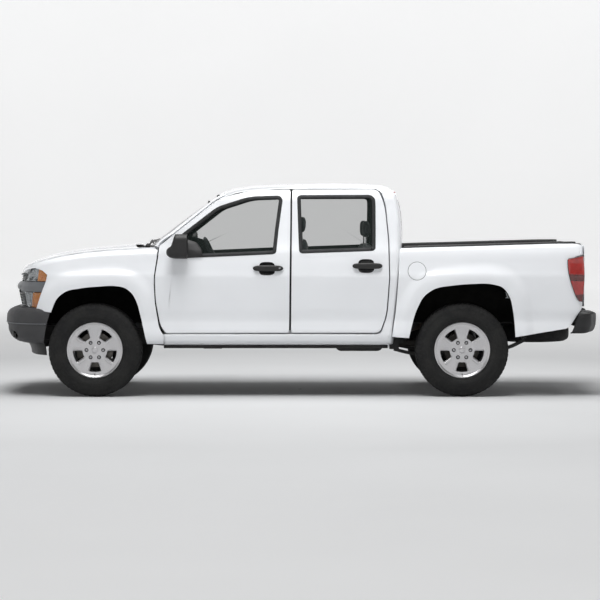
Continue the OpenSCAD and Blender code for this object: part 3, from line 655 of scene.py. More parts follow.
doorSteps = np.r_[0, np.linspace(0.02, 0.985, 40), 1.0]
for end, shape in doorShapes.items():
    windowLoop, edgeLoop = doorCurves(shape)
    flat = windowLoop[None] * (1 - doorSteps[:, None, None]) + edgeLoop[None] * doorSteps[:, None, None]
    skin = onSideSurface(flat)
    skin[-1, :, 1] += 0.0025
    # the skin's edge folds back to the door's inner face, round the outside and round the window
    foldOut = skin[-1][None] + np.array([(0, 0, 0), (0, 0.006, 0), (0, 0.018, 0)])[:, None]
    centre = edgeLoop.mean(0)
    inset = centre + (edgeLoop - centre) * 0.955
    innerWindow = windowLoop.mean(0) + (windowLoop - windowLoop.mean(0)) * 1.02
    innerEdge = onSideSurface(inset, -0.058)
    innerNear = onSideSurface(inset, -0.024)
    frameInner = onSideSurface(between(innerWindow, inset, 14), -0.060)
    revealSteps = np.linspace(0, 0.058, 5)
    reveal = np.stack([onSideSurface(windowLoop + (innerWindow - windowLoop) * s / 0.058, -s)
        for s in revealSteps])
    shutFace = np.stack([foldOut[-1], innerNear, innerEdge])
    for side, s in leftRight:
        surfaces = [tube(grid) for grid in (skin, foldOut)]
        piece(f"{end}_door_skin_{side}", onSide(surfaces, s), "bodyPaint", f"{end}_door_{side}", weld=True,
            smooth=30, inside=(centre[0], 0, 0.9), replaced=[f"{end}_door_{side}"])
        piece(f"{end}_door_shut_{side}", onSide([tube(shutFace)], s), "bodyPaint", f"{end}_door_{side}",
            thick=0.0015, smooth=30)
        trimSide = onSide([tube(frameInner)], s)
        piece(f"{end}_door_trim_{side}", trimSide, "dashPlastic", f"{end}_door_{side}",
            inside=(centre[0], s * 3, 0.9), thick=0.003)
        piece(f"{end}_window_reveal_{side}", onSide([tube(reveal)], s), "sealRubber", f"{end}_door_{side}",
            thick=0.0015)
        # the black seal stands on the frame round the glass: a flat band with rounded edges
        normal2d = np.roll(windowLoop, -1, 0) - np.roll(windowLoop, 1, 0)
        normal2d = sheet(normal2d[:, 1], -normal2d[:, 0])
        normal2d /= np.linalg.norm(normal2d, axis=1)[:, None] + 1e-9
        if ((windowLoop - windowLoop.mean(0)) * normal2d).sum() > 0:
            normal2d = -normal2d
        sealSteps = [(-0.003, -0.004), (-0.003, 0.0020), (0.000, 0.0032), (0.012, 0.0036), (0.025, 0.0020),
            (0.028, -0.002), (0.028, -0.014)]
        seal = np.stack([onSideSurface(windowLoop + normal2d * w, lift) for w, lift in sealSteps])
        piece(f"{end}_window_seal_{side}", onSide([tube(seal)], s), "sealRubber", f"{end}_door_{side}",
            smooth=0)
        # the pane, bowed like the body and 10 mm below its surface
        paneLoop = windowLoop + normal2d * 0.012
        paneCentre = paneLoop.mean(0)
        pane = paneCentre + (paneLoop - paneCentre)[None] * np.linspace(0.0005, 1, 14)[:, None, None]
        piece(f"{end}_pane_{side}", onSide([tube(onSideSurface(pane, -0.012))], s), "windowGlass",
            f"{end}_door_{side}", replaced=[f"{end}_glass_{side}"])
print("doors made")


# cab: the side frame round the doors, the roof, the back wall and the glass that doesn't open
cab = {
    "dripX": [-0.700, -0.640, -0.560, -0.450, -0.200, 0.100, 0.400, 0.620, 0.700, 0.760, 0.800, 0.823],
    "dripZ": [1.672, 1.696, 1.717, 1.7355, 1.752, 1.757, 1.757, 1.755, 1.748, 1.726, 1.704, 1.680],
    "roofX": [-0.715, -0.660, -0.560, -0.420, -0.200, 0.100, 0.400, 0.620, 0.700, 0.752, 0.790, 0.812,
        0.823],
    "roofZ": [1.700, 1.734, 1.766, 1.785, 1.797, 1.8035, 1.8035, 1.798, 1.792, 1.780, 1.755, 1.722, 1.680],
    "backZ": [0.400, 0.508, 0.713, 0.953, 1.239, 1.300, 1.420, 1.550, 1.620, 1.690, 1.757],
    "sideRear": [0.745, 0.756, 0.780, 0.803, 0.817, 0.820, 0.826, 0.822, 0.813, 0.797, 0.780],
    "cornerX": [0.045, 0.045, 0.045, 0.046, 0.048, 0.048, 0.040, 0.034, 0.029, 0.026, 0.026],
    "cornerY": [0.190, 0.190, 0.190, 0.190, 0.170, 0.160, 0.130, 0.105, 0.092, 0.080, 0.070],
    "glassFoot": (-1.232, 0.705, 1.264),
    "glassHead": (-0.672, 0.592, 1.690),
    "glassBow": (0.078, 0.042),
    "windowLow": 1.312,
    "windowHigh": 1.662,
    "windowHalf": 0.525,
}


# windshield point: s across from -1 to 1, t up from 0 to 1, bowed forwards most at its middle
def shieldPoint(s, t, lift=0.0):
    foot, head, bow = np.array(cab["glassFoot"]), np.array(cab["glassHead"]), cab["glassBow"]
    reach = (bow[0] + (bow[1] - bow[0]) * t) * (1 - s**2)
    x = foot[0] + (head[0] - foot[0]) * t - reach - lift * 0.61
    z = foot[2] + (head[2] - foot[2]) * t + 0.012 * np.sin(math.pi * t) + 0.010 * (1
        - s**2) * t + lift * 0.79
    return sheet(x, s * (foot[1] + (head[1] - foot[1]) * t), z)


# roof point: u along the centre line, v across; the section is a superellipse from the drip line to the crown
def roofPoint(u, v, lift=0.0):
    line = evenly(sheet(cab["roofX"], cab["roofZ"]), 400)
    x = np.interp(u, np.linspace(0, 1, 400), line[:, 0])
    crown = np.interp(u, np.linspace(0, 1, 400), line[:, 1])
    edge = np.minimum(np.interp(x, cab["dripX"], cab["dripZ"]), crown)
    half = sideHalf(x, edge)
    rise = (1 - np.abs(v) ** 2.5) ** (1 / 1.5)
    front = ease(-0.45, -0.70, x) * 0.030 * np.abs(v) ** 2
    rear = ease(0.55, 0.82, x) * 0.022 * np.abs(v) ** 6
    return sheet(x + front - rear, v * half, edge + (crown - edge) * rise + lift)


u, v = np.meshgrid(np.linspace(0, 1, 96), np.sin(np.linspace(-1, 1, 81) * math.pi / 2), indexing="ij")
roofSkin = roofPoint(u, v)
# two shallow beads along the roof stiffen it, as pressed sheet does
bead = ease(0.035, 0.010, np.abs(np.abs(roofSkin[..., 1]) - 0.30)) * ease(-0.45, -0.30,
    roofSkin[..., 0]) * ease(0.62, 0.50, roofSkin[..., 0])
roofSkin[..., 2] -= 0.004 * bead
piece("roof_skin", [roofSkin], "bodyPaint", thick=0.004, replaced=["roof_panel"])
piece("headliner", [roofPoint(u[4:-8:2, 2:-2:2], v[4:-8:2, 2:-2:2], -0.028)], "cabinGrey", inside=(0, 0, 3))

# pillar beside the windshield: a rounded strip from the door's edge to the glass
pillarDoor = splineThrough([(-1.196, 1.262), (-1.190, 1.279), (-1.060, 1.384), (-0.930, 1.490),
    (-0.800, 1.594), (-0.705, 1.668), (-0.640, 1.7005)], 60)
pillarOuter = onSideSurface(pillarDoor)
glassT = np.linspace(-0.01, 1.06, 60)
pillarInner = shieldPoint(np.full(60, -1.0), glassT)
steps = np.linspace(0, 1, 10)[:, None, None]
pillar = pillarOuter[None] * (1 - steps) + pillarInner[None] * steps
pillar += np.array([-0.45, -0.62, 0.64]) * 0.017 * np.sin(math.pi * steps) ** 0.8
pillarFold = np.stack([pillarOuter, pillarOuter + (0.004, 0.012, -0.004),
    pillarOuter + (0.020, 0.060, -0.020)])
rocker = between(sheet(np.linspace(-1.150, 0.757, 90), 0.5275), sheet(np.linspace(-1.146, 0.752, 90),
    0.440), 12)
rockerTuck = between(sheet(np.linspace(-1.146, 0.752, 90), 0.440),
    sheet(np.linspace(-1.146, 0.752, 90), 0.4135), 4)
quarterDoor = outline([(0.620, 0.5275), (0.681, 0.530, 0.05), (0.739, 0.690, 0.5), (0.760, 1.000, 0.9),
    (0.754, 1.330, 0.9), (0.7255, 1.640, 0.5), (0.690, 1.730, 0.06), (0.640, 1.756)],
    [8, 16, 20, 22, 20, 10, 6], closed=False)
quarterEdgeZ = np.linspace(0.440, 1.700, len(quarterDoor) - 10)
quarterEdge = np.vstack([sheet(np.interp(quarterEdgeZ, cab["backZ"], cab["sideRear"]), quarterEdgeZ),
    sheet(np.linspace(0.787, 0.640, 10), np.interp(np.linspace(0.787, 0.640, 10), cab["dripX"],
    cab["dripZ"]))])
quarter = between(quarterDoor, quarterEdge, 10)
cornerZ = np.linspace(0.440, 1.722, 70)[:, None]
cornerTurn = np.linspace(0, math.pi / 2, 18)[None]
atHeight = lambda key: np.interp(cornerZ, cab["backZ"], cab[key])
cornerHalf = sideHalf(np.full_like(cornerZ, 0.7), cornerZ)
corner = sheet(atHeight("sideRear") + atHeight("cornerX") * np.sin(cornerTurn),
    -cornerHalf + atHeight("cornerY") * (1 - np.cos(cornerTurn)), cornerZ)


def jambGrid(curve, gaps=((0.0, 0.0), (0.0, 0.006), (0.004, 0.020), (0.004, 0.085))):
    return np.stack([onSideSurface(curve, -depth) + (lean, 0, 0) for lean, depth in gaps])


piece("cab_side_frames", onBothSides([pillar, pillarFold, onSideSurface(rocker), onSideSurface(rockerTuck),
    onSideSurface(quarter), corner, jambGrid(quarterDoor)]), "bodyPaint", thick=0.004, weld=True,
    replaced=["cab_shell"])
# inside the openings: sill in body paint, B-pillar and roof rail in dark dash plastic
sillX = np.linspace(-1.150, 0.700, 60)
sill = np.stack([sheet(sillX, -y, z) for y, z in ((0.842, 0.5275), (0.820, 0.531), (0.790, 0.536),
    (0.770, 0.560), (0.676, 0.572))])
postZ = np.linspace(0.535, 1.735, 50)
postHalf = sideHalf(np.zeros(50), postZ)
middlePost = np.stack([sheet(x, -(postHalf - depth), postZ) for x,
    depth in ((-0.150, 0.120), (-0.148, 0.086), (-0.120, 0.078), (-0.040, 0.078), (-0.012, 0.086),
    (-0.010, 0.120))])
railLine = splineThrough([(-1.180, 1.262), (-1.050, 1.364), (-0.800, 1.568), (-0.690, 1.645),
    (-0.560, 1.690), (-0.300, 1.712), (0.100, 1.718), (0.600, 1.716), (0.680, 1.660), (0.705, 1.560),
    (0.724, 1.330), (0.724, 1.000), (0.712, 0.700), (0.690, 0.600)], 120)
innerRail = np.stack([onSideSurface(railLine + offset, -depth) for offset,
    depth in ((np.zeros(2), 0.074), (np.zeros(2), 0.112), (np.array([0, -0.004]), 0.150))])
piece("sill_plates", onBothSides([sill]), "bodyPaint", thick=0.002)
piece("pillar_trims", onBothSides([middlePost]), "dashPlastic", thick=0.003)
piece("opening_seals", onBothSides([innerRail]), "dashPlastic", thick=0.004)

# windshield, its black border and the mouldings at its sides
s, t = np.meshgrid(np.linspace(-1, 1, 61), np.linspace(0, 1, 31), indexing="ij")
piece("windshield", [shieldPoint(s * 0.985, t * 0.97 + 0.015, -0.003)], "windowGlass", thick=0.005,
    smooth=0, replaced=["fixed_glass"])
borderPath = np.vstack([shieldPoint(np.full(40, -0.985), np.linspace(0, 0.985, 40), 0.001),
    shieldPoint(np.linspace(-0.97, 0.97, 50), np.full(50, 0.995), 0.001),
    shieldPoint(np.full(40, 0.985), np.linspace(0.985, 0, 40), 0.001)])
flatStrip = np.array([(-0.008, -0.004), (-0.008, 0.002), (-0.004, 0.004), (0.004, 0.004), (0.008, 0.002),
    (0.008, -0.004)])
piece("windshield_moulding", [tube(swept(borderPath, flatStrip * (1.5, 1.8), (-0.61, 0, 0.79)))],
    "sealRubber", smooth=0)

# back wall with its window, seen from the bed
def backX(z):
    return np.interp(z, cab["backZ"], cab["sideRear"]) + np.interp(z, cab["backZ"], cab["cornerX"])


def backLoop(low, high, half, radius):
    return outline([(half, low, radius), (half, high, radius), (-half, high, radius),
        (-half, low, radius)], [40] * 4)


wallHalf = lambda z: sideHalf(np.full_like(z, 0.7), z) - np.interp(z, cab["backZ"], cab["cornerY"]) + 0.004
windowEdge = backLoop(cab["windowLow"], cab["windowHigh"], cab["windowHalf"], 0.055)
wallEdge = backLoop(0.450, 1.700, 1.0, 0.001)
wallEdge[:, 0] = np.sign(wallEdge[:, 0]) * np.minimum(np.abs(wallEdge[:, 0]), wallHalf(wallEdge[:, 1]))
wall = between(windowEdge, wallEdge, 16)
asWall = lambda flat, lift=0.0: sheet(backX(flat[..., 1]) + lift, flat[..., 0], flat[..., 1])
piece("cab_back_wall", [tube(asWall(wall))], "bodyPaint", thick=0.004)
centreOf = windowEdge.mean(0)
sealRows = [(1.022, -0.002), (1.020, 0.004), (1.0, 0.006), (0.965, 0.004), (0.960, -0.006)]
sealRing = np.stack([asWall(centreOf + (windowEdge - centreOf) * scale, lift) for scale, lift in sealRows])
piece("back_window_seal", [tube(sealRing)], "sealRubber", smooth=0)
backPane = centreOf + (windowEdge - centreOf)[None] * np.linspace(0.001, 0.985, 12)[:, None, None]
piece("back_window", [tube(asWall(backPane, -0.004))], "windowGlass", thick=0.004)
piece("back_trim", [tube(asWall(between(windowEdge, wallEdge * (0.96, 1), 10), -0.045))], "cabinGrey",
    inside=(3, 0, 1.2))
# high brake lamp on the roof's rear edge
piece("high_brake_lamp", [tube(softBlock((0.795, -0.165, 1.694), (0.836, 0.165, 1.738), 0.4))], "redLens")
piece("high_brake_lamp_base", [tube(softBlock((0.780, -0.172, 1.688), (0.820, 0.172, 1.745), 0.35))],
    "bodyPaint")
print("cab made")


# front end: hood, cowl, grille, lamps and bumper
nose = {"heights": [0.700, 0.760, 0.880, 0.930, 0.970, 1.050, 1.090],
    "fronts": [-2.420, -2.430, -2.456, -2.452, -2.432, -2.415, -2.405], "start": -1.95, "half": 0.857,
    "power": 2.6, "lampIn": 0.565}


# nose point at angle a from straight ahead and height z: a superellipse in plan, its front by height
def nosePoint(a, z, lift=0.0):
    front = np.interp(z, nose["heights"], nose["fronts"])
    reach, power = nose["start"] - front, 2 / nose["power"]
    x = nose["start"] - (reach + lift) * np.abs(np.cos(a)) ** power
    y = np.sign(a) * (nose["half"] + lift) * np.abs(np.sin(a)) ** power
    return np.stack([x, y, z + 0 * a], -1)


def angleAtX(x, z):
    front = np.interp(z, nose["heights"], nose["fronts"])
    return np.arccos(np.clip((nose["start"] - x) / (nose["start"] - front), 0, 1) ** (nose["power"] / 2))


def angleAtY(y):
    return np.arcsin(np.clip(y / nose["half"], 0, 1) ** (nose["power"] / 2))


hood = {"centreX": [-2.460, -2.340, -2.231, -2.080, -1.845, -1.627, -1.425, -1.300],
    "centreZ": [1.068, 1.124, 1.163, 1.202, 1.240, 1.259, 1.278, 1.288], "lip": 0.045, "roll": 0.060}
u = np.linspace(0, 1, 80)[:, None]
v = np.linspace(-1, 1, 91)[None]
frontHalf, rearHalf = 0.652, 0.752
hoodFront = nosePoint(np.sign(v) * angleAtY(np.abs(v) * frontHalf), np.full_like(v, 1.06))[..., 0]
hoodRear = -1.432 + 0.110 * np.abs(v) ** 2.6
hoodX = hoodFront + (hoodRear - hoodFront) * u
hoodHalf = through([0, 0.08, 0.3, 0.65, 1], [frontHalf, 0.690, 0.722, 0.742, rearHalf], u)
hoodSide = fenderTop(np.clip(hoodX, -2.33, -1.2)) + 0.001
hoodCentre = through(hood["centreX"], hood["centreZ"], hoodX)
runBack = hoodX - hoodFront
bulge = 0.010 * ease(0.50, 0.40, np.abs(v * hoodHalf)) * ease(0.02, 0.35, runBack)
hoodZ = hoodCentre - (hoodCentre - hoodSide) * np.abs(v) ** 2.2 - 0.006 + bulge - hood["lip"] * (1
    - np.sqrt(1 - np.clip(1 - runBack / hood["roll"], 0, 1) ** 2))
hoodGrid = sheet(hoodX, v * hoodHalf, hoodZ)
piece("hood_skin", [hoodGrid], "bodyPaint", "hood", thick=0.016, bevel=0.005, replaced=["hood"])
piece("hood_inner_frame", [hoodGrid[6:-4:3, 6:-6:3] - (0, 0, 0.030)], "chassisPaint", "hood", thick=0.008)

# cowl: a louvred black grating between hood and glass
s = np.linspace(-1, 1, 121)[None]
t = np.linspace(0, 1, 24)[:, None]
cowlFront = sheet(-1.424 + 0.112 * np.abs(s) ** 2.6, 0.735 * s, 1.248 - 0.012 * s**2)
cowlRear = shieldPoint(s * 1.0, np.full_like(s, 0.005))
cowl = cowlFront * (1 - t[..., None]) + cowlRear * t[..., None]
cowl[..., 2] += -0.014 * np.sin(math.pi * t) + 0.0022 * np.sin(s * 240) * ease(0.2, 0.4, t) * ease(0.9,
    0.7, t)
piece("cowl_grating", [cowl], "trimPlastic", thick=0.004, replaced=["cowl_panel"])
engineBay = np.stack([cowlFront[0] + (0, 0, z) for z in (0.0, -0.010, -0.080)])
piece("cowl_front_wall", [engineBay], "trimPlastic", thick=0.003)
for number, (footY, tipY) in enumerate(((-0.52, 0.02), (0.16, 0.62))):
    blade = shieldPoint(np.linspace(footY + 0.06, tipY + 0.02, 30) / 0.70, np.linspace(0.045, 0.075, 30),
        0.012)
    arm = np.vstack([[shieldPoint(np.array(footY / 0.70), np.array(-0.035), 0.020)],
        shieldPoint(np.linspace(footY + 0.02, (tipY + footY) / 2 + 0.05, 12) / 0.70,
        np.linspace(0.01, 0.062, 12), 0.026)])
    bladeShape = np.array([(-0.003, -0.010), (0.003, -0.010), (0.006, 0.003), (0.003, 0.008),
        (-0.003, 0.008), (-0.006, 0.003)])
    piece(f"wiper_{number + 1}", [tube(swept(blade, bladeShape, (-0.61, 0, 0.79))),
        tube(swept(arm, circle(0.0065, 10), (-0.61, 0, 0.79))), tube(softBlock(arm[0]
        - (0.022, 0.018, 0.018), arm[0] + (0.018, 0.018, 0.016), 0.5))], "trimPlastic")

# grille: a frame between the lamps, a wide bar across its middle, and slats above and below it
innerAngle = float(angleAtY(np.array(nose["lampIn"] - 0.006)))
across = np.linspace(-innerAngle, innerAngle, 121)


def noseBand(low, high, angles, lifts):
    z = np.linspace(low, high, len(lifts))[:, None]
    return nosePoint(angles[None] + 0 * z, z + 0 * angles[None], np.array(lifts)[:, None])


barShape = [-0.034, -0.004, 0.001, 0.003, 0.004, 0.003, 0.001, -0.004, -0.034]
piece("grille_bar", [noseBand(0.888, 0.964, across, barShape)], "bezelPlastic", replaced=["grille"])
slats = []
for low in (0.760, 0.784, 0.808, 0.832, 0.856, 0.976, 0.998):
    slats.append(noseBand(low, low + 0.011, across, [-0.050, -0.013, -0.010, -0.010, -0.013, -0.050]))
posts = []
for angle in np.linspace(-innerAngle, innerAngle, 29)[1:-1]:
    strip = np.linspace(angle - 0.004, angle + 0.004, 3)
    posts.append(noseBand(0.752, 0.886, strip, [-0.020] * 6))
    posts.append(noseBand(0.964, 1.022, strip, [-0.020] * 4))
piece("grille_slats", slats, "glossBlack")
piece("grille_posts", posts, "trimPlastic", thick=0.008)
piece("grille_frame", [noseBand(0.742, 0.756, across, [-0.045, 0.0, 0.002, 0.001, -0.02]),
    noseBand(1.014, 1.030, across, [-0.02, 0.001, 0.002, -0.002, -0.045])], "bezelPlastic", thick=0.002)
piece("radiator_screen", [noseBand(0.745, 1.030, across[::4], [-0.075] * 12)], "trimPlastic", thick=0.004)

# headlamps: an upper and a lower lens either side of a grey bezel, over reflector bowls and an amber marker
lampRows = np.linspace(0, 1, 16)[:, None]
lampColumns = np.linspace(0, 1, 40)[None]
lampIn = float(angleAtY(np.array(nose["lampIn"])))


# lamp panel between two heights, from the grille to a rear edge that leans; the top follows its own line
def lampPanel(low, high, rearLow, rearHigh, lift, first=0.0, last=1.0, crown=False):
    share = first + (last - first) * lampColumns
    z = low + (high - low) * lampRows + 0 * lampColumns
    rear = rearLow + (rearHigh - rearLow) * lampRows
    angle = lampIn + (angleAtX(rear, low + (high - low) * lampRows) - lampIn) * share
    if crown:
        x = nosePoint(angle, z)[..., 0]
        top = np.interp(x, [-2.45, -2.36, -2.318, -2.247, -2.175, -2.126],
            [1.034, 1.045, 1.066, 1.084, 1.065, 1.032])
        z = low + (top - low) * lampRows
    return nosePoint(angle, z, lift)


for side, s in leftRight:
    turnSide = lambda grids: onSide([grid * (1, -1, 1) for grid in grids], s)
    upper = lampPanel(0.970, 1.034, -2.144, -2.128, 0.0, crown=True)
    lower = lampPanel(0.745, 0.883, -2.231, -2.176, 0.0)
    piece(f"headlamp_upper_{side}", turnSide([upper]), "clearLens", thick=0.003,
        replaced=["headlamps"] if s < 0 else [])
    piece(f"headlamp_lower_{side}", turnSide([lower]), "clearLens", thick=0.003)
    piece(f"headlamp_bezel_{side}", turnSide([lampPanel(0.884, 0.969, -2.176, -2.146, 0.002),
        lampPanel(0.738, 0.748, -2.236, -2.231, 0.001)]), "bezelPlastic", thick=0.003)
    piece(f"turn_lamp_{side}", turnSide([lampPanel(0.974, 1.030, -2.140, -2.130, -0.008, 0.70, 0.985,
        True), lampPanel(0.750, 0.878, -2.228, -2.180, -0.008, 0.66, 0.985)]), "amberLens", thick=0.002)
    bowls = []
    for low, high, rearLow, rearHigh, crown in ((0.972, 1.032, -2.140, -2.130, True),
            (0.748, 0.880, -2.228, -2.180, False)):
        panel = lampPanel(low, high, rearLow, rearHigh, -0.050, 0.0, 0.68, crown)
        push = 0.045 * np.abs(np.cos(lampColumns * math.pi * 2)) ** 2 * np.sin(lampRows * math.pi)
        panel[..., 0] += push * 0.9 - 0.028
        bowls.append(panel)
    piece(f"headlamp_bowls_{side}", turnSide(bowls), "lampMirror", thick=0.002)
    piece(f"headlamp_housing_{side}", turnSide([lampPanel(0.740, 1.034, -2.200, -2.150, -0.085, -0.02,
        1.0)]), "glossBlack", thick=0.002)

# front bumper: a grained moulding; each row of its section is (height, distance behind the foremost line)
bumper = {"start": -2.085, "front": -2.545, "half": 0.860, "power": 2.8,
    "section": [(0.742, 0.190), (0.744, 0.110), (0.737, 0.060), (0.722, 0.028), (0.700, 0.010),
    (0.681, 0.003), (0.640, 0.000), (0.621, 0.000), (0.617, 0.006), (0.612, 0.008), (0.580, 0.006),
    (0.553, 0.008), (0.525, 0.020), (0.500, 0.034), (0.476, 0.060), (0.458, 0.094), (0.450, 0.130),
    (0.449, 0.170)]}
section = evenly(bumper["section"], 60)
angles = np.sin(np.linspace(-1, 1, 161) * math.pi / 2) * math.pi / 2


def bumperPoint(a, z, back):
    power = 2 / bumper["power"]
    reach = bumper["start"] - bumper["front"]
    x = bumper["start"] - (reach - back) * np.abs(np.cos(a)) ** power
    y = np.sign(a) * (bumper["half"] - back * 0.35) * np.abs(np.sin(a)) ** power
    return np.stack([x, y, z + 0 * a], -1)


skin = bumperPoint(angles[None], section[:, :1], section[:, 1:])
middle = ease(0.52, 0.44, np.abs(skin[..., 1])) * ease(0.470, 0.490, skin[..., 2]) * ease(0.598, 0.580,
    skin[..., 2]) * (skin[..., 0] < -2.3)
skin[..., 0] += 0.030 * middle
fog = np.clip(1 - ((np.abs(skin[..., 1]) - 0.655) ** 2 / 0.060**2 + (skin[..., 2] - 0.522) ** 2
    / 0.030**2), 0, 1)
skin[..., 0] += 0.035 * np.sqrt(fog) * (skin[..., 0] < -2.3)
# the side's rear edge follows the wheel arch: columns behind it are drawn forward to it
rearLimit = np.interp(skin[..., 2], [0.440, 0.536, 0.617, 0.721, 0.745],
    [-2.166, -2.152, -2.136, -2.106, -2.100])
skin[..., 0] = np.minimum(skin[..., 0], rearLimit)
piece("front_bumper_skin", [skin], "bumperPlastic", thick=0.004, inside=(-2.2, 0, 0.6),
    replaced=["front_bumper"])
creaseSection = np.array([(0.6195, -0.0005), (0.6175, -0.0030), (0.6140, -0.0030), (0.6120, 0.0005)])
crease = bumperPoint(angles[None, 4:-4], creaseSection[:, :1], creaseSection[:, 1:])
crease[..., 0] = np.minimum(crease[..., 0], -2.137)
piece("bumper_crease", [crease], "bezelPlastic", thick=0.002, inside=(-2.2, 0, 0.6))
damAngles = np.linspace(-1.35, 1.35, 81)[None]
damRows = np.array([(0.455, 0.165), (0.430, 0.175), (0.400, 0.190), (0.370, 0.198), (0.350, 0.200),
    (0.344, 0.206)])
dam = bumperPoint(damAngles, damRows[:, :1], damRows[:, 1:] * (1.0 + 0.25 * np.abs(damAngles)))
dam[..., 1] *= 0.93
piece("air_dam", [dam], "trimPlastic", thick=0.005, inside=(-2.1, 0, 0.6))
for side, s in leftRight:
    fogFace = turned([(0.0005, 0.010), (0.020, 0.0085), (0.030, 0.004), (0.034, -0.004), (0.034, -0.02)],
        (-2.432, s * 0.655, 0.522), axis=0, around=40, sign=-1)
    piece(f"fog_cover_{side}", [tube(fogFace)], "glossBlack")
print("front made")


# closed bar of one side outline along y, with its ends drawn together
def alongY(loop, ys, shrink=0.985):
    loop, ys = np.array(loop, float), np.array(ys, float)
    centre = loop.mean(0)
    ends = [(ys[0], 0.0), (ys[0], shrink)] + [(y, 1.0) for y in ys[1:-1]] + [(ys[-1], shrink),
        (ys[-1], 0.0)]
    scaled = centre + (loop - centre) * np.array([scale for y, scale in ends])[:, None, None]
    across = np.broadcast_to(np.array([y for y, scale in ends])[:, None], scaled.shape[:2])
    return sheet(scaled[..., 0], across, scaled[..., 1]), False, True


# cargo bed: floor pressed with lengthwise ribs, inner walls, wheel tubs and a ribbed headboard
wallY = float(nodeBox("bed_floor")[1][1]) - 0.001
bedDeck = 0.830
ribY = np.linspace(-wallY, wallY, 361)[None]
ribX = np.linspace(0.912, 2.306, 40)[:, None]
ribHeight = 0.007 * (ease(-0.35, 0.35, np.cos(ribY * tau / 0.095)) - 1) * ease(0.912, 0.96,
    ribX) * ease(2.306, 2.26, ribX)
tubX, tubTop, tubIn = (0.918, 1.812), 0.984, 0.552


# how far up the wheel tub stands at x: 0 at its ends and 1 over its length
def tubLift(x):
    return np.clip(1 - np.abs(2 * (x - tubX[0]) / (tubX[1] - tubX[0]) - 1) ** 7, 0, 1) ** 0.5


deckHalf = wallY + np.where(tubLift(ribX) > 0.02, (tubIn - wallY) * (0.35 + 0.65 * tubLift(ribX)) + 0.006,
    0)
bedDeckGrid = sheet(ribX, np.clip(ribY, -deckHalf, deckHalf), bedDeck + ribHeight)
tubSection = outline([(tubIn, bedDeck - 0.002), (tubIn + 0.020, tubTop, 0.050), (wallY, tubTop)], [14, 10],
    closed=False)
tubAlong = np.linspace(0, 1, 60)[:, None]
lift = tubLift(tubX[0] + (tubX[1] - tubX[0]) * tubAlong)
tub = sheet(tubX[0] + (tubX[1] - tubX[0]) * tubAlong + 0 * tubSection[None, :, 0],
    -(wallY + (tubSection[None, :, 0] - wallY) * (0.35 + 0.65 * lift)),
    bedDeck - 0.004 + (tubSection[None, :, 1] - bedDeck) * lift)
wallX = np.linspace(0.900, 2.318, 120)[None]
wallZ = np.linspace(0, 1, 26)[:, None]
wallTop = bedTop(wallX) - 0.040
wallFoot = bedDeck - 0.012 + (tubTop - bedDeck) * tubLift(wallX)
innerZ = wallFoot + (wallTop - wallFoot) * wallZ
panelMark = ease(0.012, 0.0, np.abs(np.abs(innerZ - 1.08) - 0.105)) * ease(0.98, 1.02, wallX) * ease(2.24,
    2.20, wallX)
bedWall = np.stack([wallX + 0 * wallZ, -(wallY + 0.004 * panelMark) + 0 * innerZ, innerZ], -1)
headY = np.linspace(-wallY, wallY, 181)[None]
headZ = np.linspace(bedDeck - 0.01, 1.232, 30)[:, None]
headRib = 0.008 * ease(-0.3, 0.3, np.cos(headY * tau / 0.18)) * ease(0.86, 0.89, headZ) * ease(1.19, 1.16,
    headZ)
headboard = sheet(0.896 + 0.012 + headRib, headY, headZ)
headBack = headboard[::-1] * (0, 1, 1) + (0.889, 0, 0)
headCap = np.stack([headboard[-1], headboard[-1] + (-0.006, 0, 0.010), headBack[0] + (0, 0, 0.010),
    headBack[0]])
piece("bed_deck", [bedDeckGrid], "bodyPaint", thick=0.003, weld=True, inside=(1.6, 0, 0),
    replaced=["bed_floor"])
piece("bed_inner_walls", onBothSides([bedWall]), "bodyPaint", inside=(1.6, -3, 1))
piece("wheel_tubs", onBothSides([tub]), "bodyPaint", inside=(1.37, -0.9, 0.6), thick=0.003)
piece("bed_headboard", [headboard, headBack, headCap], "bodyPaint", weld=True, inside=(0.895, 0, 1.0))
crossBars = [tube(softBlock((x, -0.56, bedDeck - 0.084), (x + 0.06, 0.56, bedDeck - 0.022), 0.25, 10, 20))
    for x in (0.94, 1.25, 1.56, 1.87, 2.18)]
piece("bed_cross_sills", crossBars, "chassisPaint")
hooks = [tube(swept(np.array([(x, s * (wallY - 0.002), 0.905), (x, s * (wallY - 0.018), 0.912),
    (x, s * (wallY - 0.024), 0.925), (x, s * (wallY - 0.018), 0.938), (x, s * (wallY - 0.002), 0.945)]),
    circle(0.004, 8), (1, 0, 0))) for s in (-1, 1) for x in (0.965, 2.250)]
piece("tie_down_loops", hooks, "nutSteel")

# tailgate: one pressing with a rounded top edge, a stamped field, and a handle in a dark recess
gate = {"outer": 2.3885, "inner": 2.327, "low": 0.790, "high": 1.283, "half": 0.702}
gateLoop = outline([(gate["inner"], gate["low"], 0.006), (gate["outer"], gate["low"], 0.012),
    (gate["outer"] + 0.003, 1.180, 0.6), (gate["outer"] - 0.004, gate["high"], 0.020),
    (gate["inner"], gate["high"] - 0.002, 0.010)], [14, 44, 16, 14, 44])
gateY = np.r_[-gate["half"], np.linspace(-gate["half"] + 0.002, gate["half"] - 0.002, 181), gate["half"]]
gateGrid = alongY(gateLoop, gateY)[0]
yy, zz = gateGrid[..., 1], gateGrid[..., 2]
outerFace = gateGrid[..., 0] > 2.37
field = ease(0.600, 0.585, np.abs(yy)) * ease(0.845, 0.860, zz) * ease(1.120, 1.105, zz)
recess = ease(0.135, 0.125, np.abs(yy)) * ease(1.158, 1.166, zz) * ease(1.232, 1.224, zz)
crossRib = ease(-0.2, 0.3, np.cos(yy * tau / 0.23)) * ease(0.84, 0.87, zz) * ease(1.235, 1.205,
    zz) * ease(0.66, 0.64, np.abs(yy))
